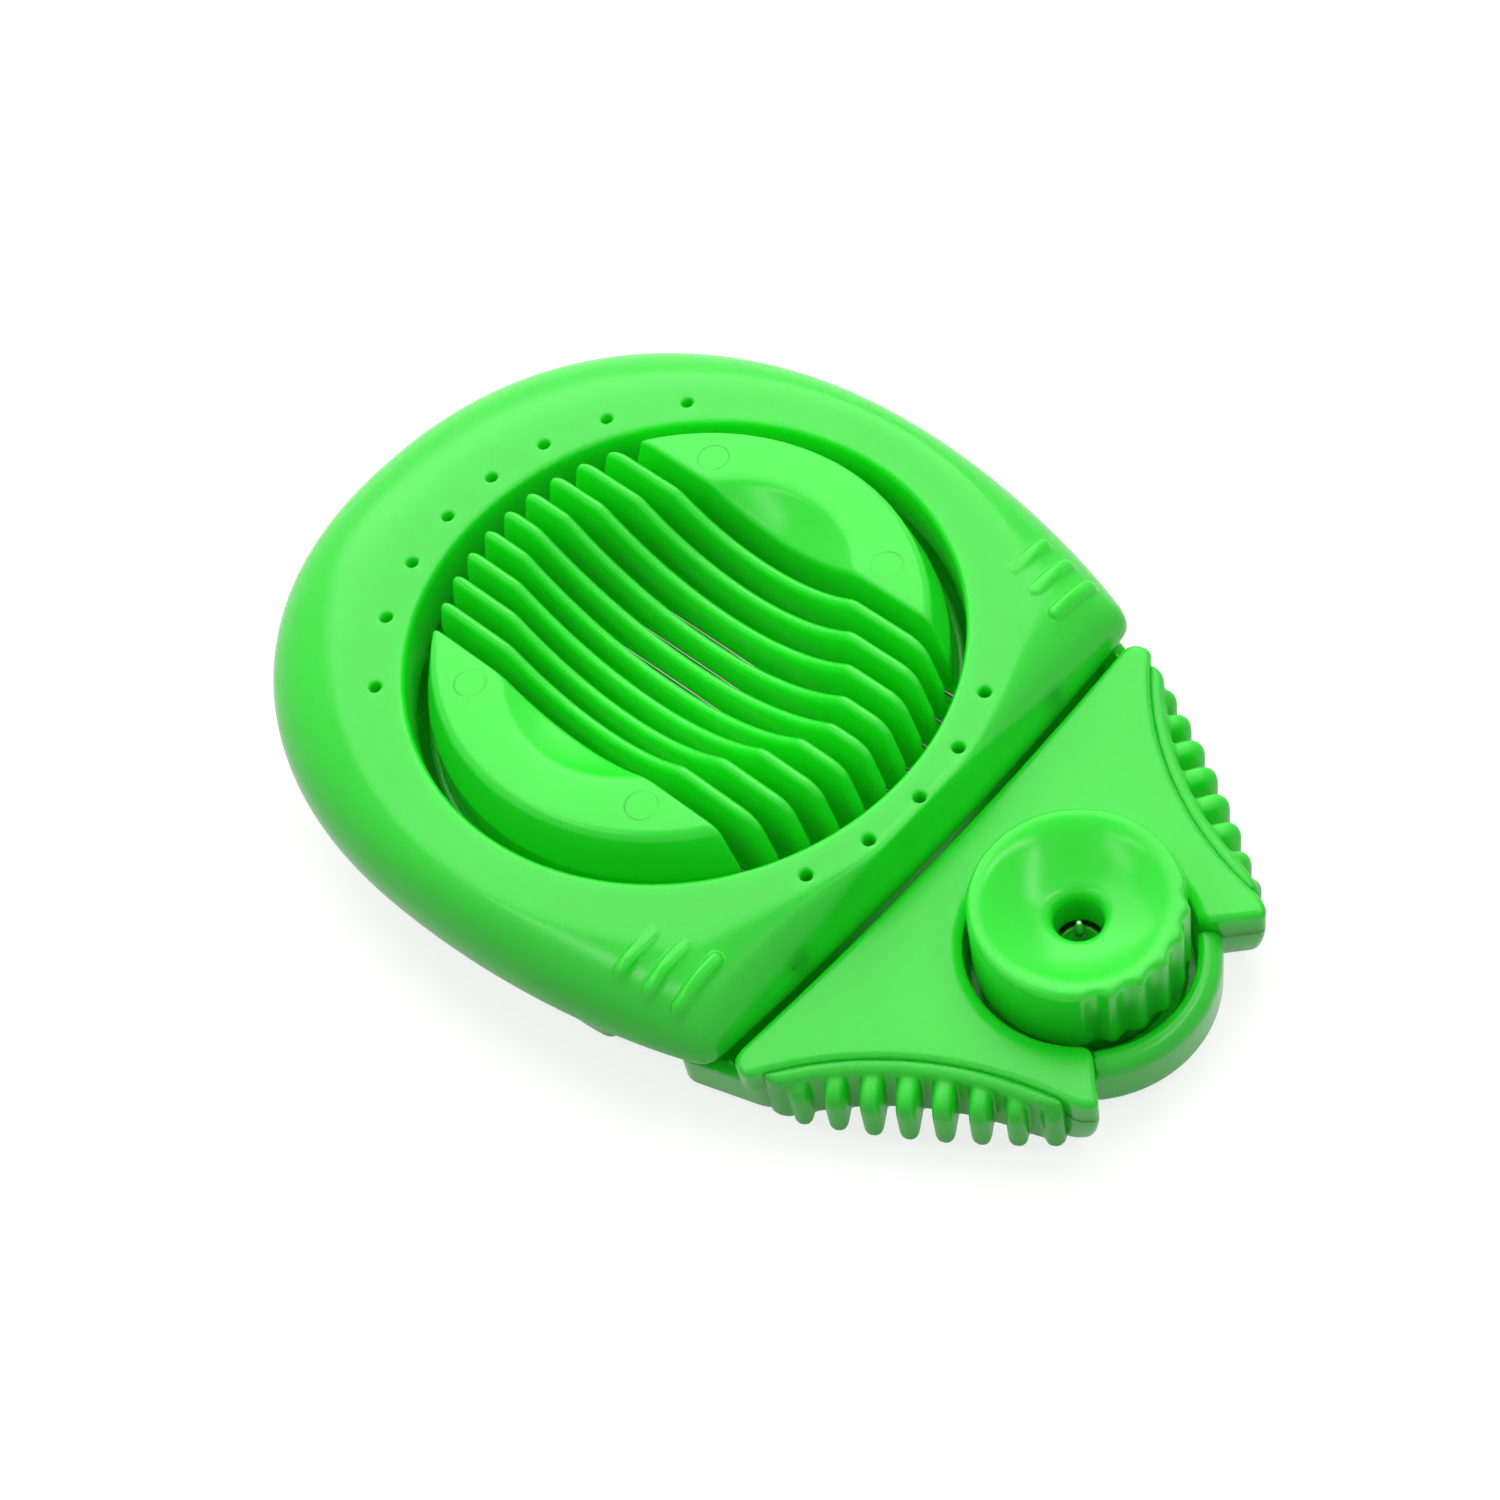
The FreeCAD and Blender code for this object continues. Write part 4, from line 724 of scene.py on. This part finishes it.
def screw_field(sx, sy, top):
    """Round head with a cross recess, seen from below, and its shank."""
    def field(x, y, z):
        ax, ay = np.abs(x - sx), np.abs(y - sy)
        axis = np.hypot(ax, ay)
        rise = z - BASE_Z
        head = smooth_max(axis - SCREW_HEAD_R, np.abs(rise - SCREW_HEAD_H / 2) - SCREW_HEAD_H / 2, 0.7)
        cross = np.minimum(np.maximum(ax - DRIVE_REACH, ay - DRIVE_HALF),
                           np.maximum(ay - DRIVE_REACH, ax - DRIVE_HALF))
        head = smooth_max(head, -np.maximum(cross + DRIVE_TAPER * rise, rise - DRIVE_DEPTH), 0.15)
        shank = np.maximum(axis - SCREW_R + RUNNING, np.maximum(z - top, SHANK_START - rise))
        return np.minimum(head, shank)
    return field


def screws(name, spots, top):
    parts = []
    for sx, sy in spots:
        field = screw_field(sx, sy, top)
        low = (sx - SCREW_ROOM, sy - SCREW_ROOM, BASE_Z - SCREW_CELL)
        high = (sx + SCREW_ROOM, sy + SCREW_ROOM, top + SCREW_CELL)
        points, faces = net(sample(field, low, high, SCREW_CELL))
        parts.append((drawn_onto(field, points * SCREW_CELL + np.array(low), SCREW_CELL), faces))
    offsets = np.cumsum([0] + [len(points) for points, faces in parts[:-1]])
    faces = np.concatenate([faces + offset for (points, faces), offset in zip(parts, offsets)])
    return smoothed(quad_mesh(name, np.concatenate([points for points, faces in parts]), faces))


# ------------------------------------------------------------------ wire
def tube_mesh(name, path, radius, sides):
    """Round wire along a list of points in a plane, closed at both ends."""
    path = np.array(path)
    ahead = np.gradient(path, axis=0)
    ahead /= np.linalg.norm(ahead, axis=1)[:, None]
    across = np.stack([-ahead[:, 1], ahead[:, 0], np.zeros(len(path))], 1)
    turns = np.arange(sides) * 2 * math.pi / sides
    ring = np.cos(turns)[None, :, None] * across[:, None] + np.sin(turns)[None, :, None] * np.array([0, 0, 1.0])
    points = (path[:, None] + radius * ring).reshape(-1, 3)
    faces = []
    for i in range(len(path) - 1):
        for k in range(sides):
            m = (k + 1) % sides
            faces.append((i * sides + k, i * sides + m, (i + 1) * sides + m, (i + 1) * sides + k))
    last = (len(path) - 1) * sides
    faces.append(tuple(range(sides - 1, -1, -1)))
    faces.append(tuple(range(last, last + sides)))
    mesh = bpy.data.meshes.new(name)
    mesh.from_pydata((points * MM).tolist(), [], faces)
    mesh.validate()
    return smoothed(mesh)


def post_x(y, side):
    return RING_X + side * math.sqrt(POST_CIRCLE_R ** 2 - y * y)


def turn_about(centre, start, end, count=14):
    """Points of the wire where it bends round one post."""
    angles = [start + (end - start) * i / count for i in range(count + 1)]
    r = SLAT_PITCH / 2
    return [(centre[0] + r * math.cos(a), centre[1] + r * math.sin(a), WIRE_Z) for a in angles]


def wire_path():
    """To and fro round the posts, with one straight pass between each pair of slats."""
    half = math.pi / 2
    end_y = POST_CIRCLE_R * math.sin(math.radians(WIDE_HOLE_ANGLES[-1]))
    last = (post_x(end_y, -1), -end_y)
    anchor_y = (SLATS + 1) * SLAT_PITCH
    anchor = (post_x(anchor_y, -1), -anchor_y)
    lean = math.atan2(last[1] - anchor[1], last[0] - anchor[0]) - half
    path = turn_about(last, lean + WIRE_TAIL, lean) + turn_about(anchor, lean, -3 * half)
    for i in range(-SLATS, SLATS + 1):
        y = i * SLAT_PITCH
        if i % 2 == 0:
            path += turn_about((post_x(y, 1), y), -half, half)
        else:
            path += turn_about((post_x(y, -1), y), -half, -3 * half)
    path += turn_about((anchor[0], -anchor[1]), 3 * half, -lean)
    return path + turn_about((last[0], -last[1]), -lean, -lean - WIRE_TAIL)


# ------------------------------------------------------------------ materials
PLASTIC_GREENS = (0.03, 0.90, 0.04), (0.022, 0.87, 0.03)        # pairs of colours: pale, then deep
GRIP_GREENS = (0.03, 0.84, 0.04), (0.022, 0.80, 0.03)
FOOT_GREENS = (0.07, 0.55, 0.085), (0.05, 0.45, 0.065)
# painted shade and painted reflection: the wire's steel is coloured dark and greenish, as it looks deep in the
# green cradle
WIRE_SHADED_GREYS = (0.26, 0.31, 0.24), (0.17, 0.21, 0.16)
PIN_GREYS = (0.72, 0.73, 0.74), (0.60, 0.61, 0.62)
SCREW_GREYS = (0.66, 0.67, 0.69), (0.5, 0.51, 0.54)
POLISHED, SATIN, RUBBERY = (0.20, 0.29), (0.32, 0.42), (0.62, 0.8)      # roughness, from and to
PIN_ROUGH, WIRE_ROUGH, SCREW_ROUGH = (0.2, 0.35), (0.25, 0.45), (0.3, 0.5)
CLOUDS, SHEEN, GRAIN, RIPPLES = (45, 3), (60, 1), (900, 2), (55, 1)     # noise: scale per metre, then detail
STREAKS, STEEL_SHEEN, MARK_GAPS = (900, 3), (500, 3), (260, 1)
RUBBER_GRAIN, RUBBER_SHEEN = (1800, 4), (300, 2)
ALONG_X, ALONG_Y, ALONG_Z = (0.05, 1, 1), (1, 0.05, 1), (1, 1, 0.3)     # stretch of the drawing lines
PLASTIC_IOR, PLASTIC_SPECULAR, RUBBER_SPECULAR = 1.49, 0.4, 0.3
SCATTER, SCATTER_RADIUS, SCATTER_SCALE = 1.0, (0.12, 1.0, 0.16), 0.0045
PLASTIC_RELIEF, STEEL_RELIEF, RUBBER_RELIEF = (0.00015, 0.12), (0.00002, 0.4), (0.00006, 0.5)   # metres, strength
GRAIN_SHARE = 0.06      # of the fine grain in the plastic's relief
MARK_HALF, MARK_RELIEF = 0.13, (0.0001, 0.5)
# painted shade: the ejector rings are coloured towards a dark tone of the deep green, standing in for the shade
# in their grooves
MARK_SHADE_TONE, MARK_SHADE_SHARE, MARK_FAINTEST = 0.3, 0.4, 0.15
NARROW, WIDE = (0.4, 0.6), (0.1, 0.9)                   # spans of noise that are stretched to a range


def new_material(name):
    mat = bpy.data.materials.new(name)
    mat.use_nodes = True
    return mat, mat.node_tree, mat.node_tree.nodes["Principled BSDF"]


def noise(tree, scale, detail, stretch=(1, 1, 1)):
    """Noise on the object's own coordinates, in metres."""
    place = tree.nodes.new("ShaderNodeTexCoord")
    mapping = tree.nodes.new("ShaderNodeMapping")
    mapping.inputs["Scale"].default_value = stretch
    texture = tree.nodes.new("ShaderNodeTexNoise")
    texture.inputs["Scale"].default_value = scale
    texture.inputs["Detail"].default_value = detail
    tree.links.new(place.outputs["Object"], mapping.inputs["Vector"])
    tree.links.new(mapping.outputs["Vector"], texture.inputs["Vector"])
    return texture.outputs["Fac"]


def ranged(tree, value, low, high, from_low=0.3, from_high=0.7):
    node = tree.nodes.new("ShaderNodeMapRange")
    node.inputs["From Min"].default_value = from_low
    node.inputs["From Max"].default_value = from_high
    node.inputs["To Min"].default_value = low
    node.inputs["To Max"].default_value = high
    tree.links.new(value, node.inputs["Value"])
    return node.outputs["Result"]


def blended(tree, factor, first, second):
    """Mix of two colours, each a tuple or a socket; a Mix node keeps its colours in sockets 6, 7 and out 2."""
    node = tree.nodes.new("ShaderNodeMix")
    node.data_type = "RGBA"
    tree.links.new(factor, node.inputs["Factor"])
    for socket, colour in ((node.inputs[6], first), (node.inputs[7], second)):
        if isinstance(colour, tuple):
            socket.default_value = (*colour, 1)
        else:
            tree.links.new(colour, socket)
    return node.outputs[2]


def bumped(tree, height, distance, strength, under=None):
    bump = tree.nodes.new("ShaderNodeBump")
    bump.inputs["Strength"].default_value = strength
    bump.inputs["Distance"].default_value = distance
    tree.links.new(height, bump.inputs["Height"])
    if under:
        tree.links.new(under.outputs["Normal"], bump.inputs["Normal"])
    return bump


def moulded_plastic(name, pale, deep, rough=POLISHED, marks=False):
    """Glossy, slightly translucent moulding: faint clouding of the pigment, slow ripples and a fine grain; marks
    add ejector rings with a shallow groove and painted shade.
    """
    mat, tree, shader = new_material(name)
    clouds = ranged(tree, noise(tree, *CLOUDS), 0, 1)
    colour = blended(tree, clouds, pale, deep)
    engraved = None
    if marks:
        ring = ring_marks(tree)
        share = ranged(tree, ring, 0, MARK_SHADE_SHARE, 0, 1)
        # Painted shade: the ring marks are darkened in colour, over the real groove that the bump below gives
        # them.
        colour = blended(tree, share, colour, tuple(MARK_SHADE_TONE * c for c in deep))
        engraved = bumped(tree, ring, *MARK_RELIEF)
        engraved.invert = True
    tree.links.new(colour, shader.inputs["Base Color"])
    tree.links.new(ranged(tree, noise(tree, *SHEEN), *rough, *WIDE), shader.inputs["Roughness"])
    shader.inputs["IOR"].default_value = PLASTIC_IOR
    shader.inputs["Specular IOR Level"].default_value = PLASTIC_SPECULAR
    shader.inputs["Subsurface Weight"].default_value = SCATTER
    shader.inputs["Subsurface Radius"].default_value = SCATTER_RADIUS
    shader.inputs["Subsurface Scale"].default_value = SCATTER_SCALE
    height = math_node(tree, "MULTIPLY_ADD", noise(tree, *GRAIN), GRAIN_SHARE, noise(tree, *RIPPLES))
    tree.links.new(bumped(tree, height, *PLASTIC_RELIEF, engraved).outputs["Normal"], shader.inputs["Normal"])
    return mat


def ring_marks(tree):
    """One on the thin rings that the ejector pins leave on the cradle's dishes, nought elsewhere; it drives their
    shallow groove and their painted shade.
    """
    place = tree.nodes.new("ShaderNodeTexCoord")
    flat = tree.nodes.new("ShaderNodeVectorMath")
    flat.operation = "MULTIPLY"
    flat.inputs[1].default_value = (1, 1, 0)
    tree.links.new(place.outputs["Object"], flat.inputs[0])
    nearest = 0
    for x, y in [(x, side * y) for x, y in MARK_SPOTS for side in (-1, 1)]:
        gap = tree.nodes.new("ShaderNodeVectorMath")
        gap.operation = "DISTANCE"
        gap.inputs[1].default_value = (x * MM, y * MM, 0)
        tree.links.new(flat.outputs[0], gap.inputs[0])
        rim = math_node(tree, "COMPARE", gap.outputs["Value"], MARK_R * MM, MARK_HALF * MM)
        nearest = math_node(tree, "MAXIMUM", nearest, rim)
    gaps = ranged(tree, noise(tree, *MARK_GAPS), MARK_FAINTEST, 1, *NARROW)
    return math_node(tree, "MULTIPLY", nearest, gaps)


def metal(name, pale, dark, rough, stretch):
    """Bare steel with drawing lines along its length and uneven shine."""
    mat, tree, shader = new_material(name)
    streak = noise(tree, *STREAKS, stretch)
    tree.links.new(blended(tree, ranged(tree, streak, 0, 1), pale, dark), shader.inputs["Base Color"])
    tree.links.new(ranged(tree, noise(tree, *STEEL_SHEEN, stretch), *rough), shader.inputs["Roughness"])
    shader.inputs["Metallic"].default_value = 1.0
    tree.links.new(bumped(tree, streak, *STEEL_RELIEF).outputs["Normal"], shader.inputs["Normal"])
    return mat


def rubber(name, pale, dark):
    """Dull, grainy rubber."""
    mat, tree, shader = new_material(name)
    grain = noise(tree, *RUBBER_GRAIN)
    tree.links.new(blended(tree, ranged(tree, grain, 0, 1), pale, dark), shader.inputs["Base Color"])
    tree.links.new(ranged(tree, noise(tree, *RUBBER_SHEEN), *RUBBERY), shader.inputs["Roughness"])
    shader.inputs["Specular IOR Level"].default_value = RUBBER_SPECULAR
    tree.links.new(bumped(tree, grain, *RUBBER_RELIEF).outputs["Normal"], shader.inputs["Normal"])
    return mat


# ------------------------------------------------------------------ the pieces
def build_pieces():
    green = moulded_plastic("green_plastic_look", *PLASTIC_GREENS)
    cradle_green = moulded_plastic("green_plastic_cradle", *PLASTIC_GREENS, marks=True)
    grip_green = moulded_plastic("green_grip_look", *GRIP_GREENS, SATIN)
    # The wire's colours are painted shade and painted green reflection on plain steel.
    wire_shaded_steel = metal("stainless_wire_painted_shade_look", *WIRE_SHADED_GREYS, WIRE_ROUGH, ALONG_X)
    pin_steel = metal("stainless_look", *PIN_GREYS, PIN_ROUGH, ALONG_Y)
    screw_steel = metal("zinc_look", *SCREW_GREYS, SCREW_ROUGH, ALONG_Z)
    foot_green = rubber("foot_rubber_look", *FOOT_GREENS)

    # Name, field, the box it is sampled in, cell, triangles at most; then body, the node it replaces, slot, look.
    mouldings = (
        ("lid_frame_moulding", wire_frame, (-72, -49.6, 10.7), (32.8, 49.6, 21.6), 0.4, 155000,
         "wire_lid", "wire_frame", "green_plastic", green),
        ("slatted_cradle_moulding", cradle, (-47.6, -36.8, 3.4), (26, 36.8, 24.6), 0.4, 160000,
         "base", "egg_cradle", "green_plastic", cradle_green),
        ("rear_cover_moulding", rear_cover, (31, -39.6, 7.8), (70.8, 39.6, 13.1), 0.35, 60000,
         "base", "rear_cover", "green_plastic", green),
        ("base_tray_moulding", base_tray, (-65.4, -44.6, 1.4), (71.8, 44.6, 16), 0.4, 120000,
         "base", "base_tray", "green_plastic", green),
        ("piercer_knob_moulding", piercer_knob, (40.2, -13.8, 8.8), (67.9, 13.8, 21.8), 0.3, 62000,
         "knob", "piercer_knob", "green_plastic", green),
        ("grip_right_moulding", side_grip, (35, 17, 2.2), (70, 40.6, 12.6), 0.3, 45000,
         "base", "side_grip_right", "green_soft_grip", grip_green),
        ("grip_left_moulding", left_grip, (35, -40.6, 2.2), (70, -17, 12.6), 0.3, 45000,
         "base", "side_grip_left", "green_soft_grip", grip_green),
    )
    for name, field, low, high, cell, triangles, body, node, slot, material in mouldings:
        piece_from(name, moulded(name, field, low, high, cell, triangles), body, [node], slot, material)

    mesh = tube_mesh("laced_wire", wire_path(), WIRE_R, WIRE_SIDES)
    piece_from("laced_wire", mesh, "wire_lid", ["cutting_wire"], "stainless_steel", wire_shaded_steel)
    mesh = screws("cradle_screw_set", CRADLE_SCREW_SPOTS, PLATE_Z - SCREW_SHORT)
    piece_from("cradle_screw_set", mesh, "base", ["cradle_screws"], "screw_steel", screw_steel)
    mesh = screws("cover_screw_set", COVER_SCREW_SPOTS, COVER_Z - SCREW_SHORT)
    piece_from("cover_screw_set", mesh, "base", ["cover_screws"], "screw_steel", screw_steel)

    for name, spot in FOOT_SPOTS.items():
        mesh = lathed(FOOT_PROFILE, spot, TURNED_SIDES)
        piece_from("pad_" + name, mesh, "base", ["foot_" + name], "foot_rubber", foot_green)
    mesh = lathed(NEEDLE_PROFILE, (KNOB_X, 0), NEEDLE_SIDES)
    piece_from("piercing_needle", mesh, "base", ["piercer_needle"], "stainless_steel", pin_steel)
    mesh = lathed(HOLDER_PROFILE, (KNOB_X, 0), TURNED_SIDES)
    piece_from("needle_post", mesh, "base", ["needle_holder"], "green_plastic", green)
    for side, way in (("left", -1), ("right", 1)):
        piece_from("pin_" + side, hinge_pin(way), "wire_lid", ["hinge_pin_" + side], "stainless_steel", pin_steel)

    # CAD nodes that stay as they are and only take a look.
    carried = {"wire_clamp_ring": green, "lock_collar": green, "piercer_spring": pin_steel}
    for name, material in carried.items():
        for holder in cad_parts[name].material_slots:
            holder.material = material


make_camera()
make_floor()
make_world()
make_lights()
build_pieces()
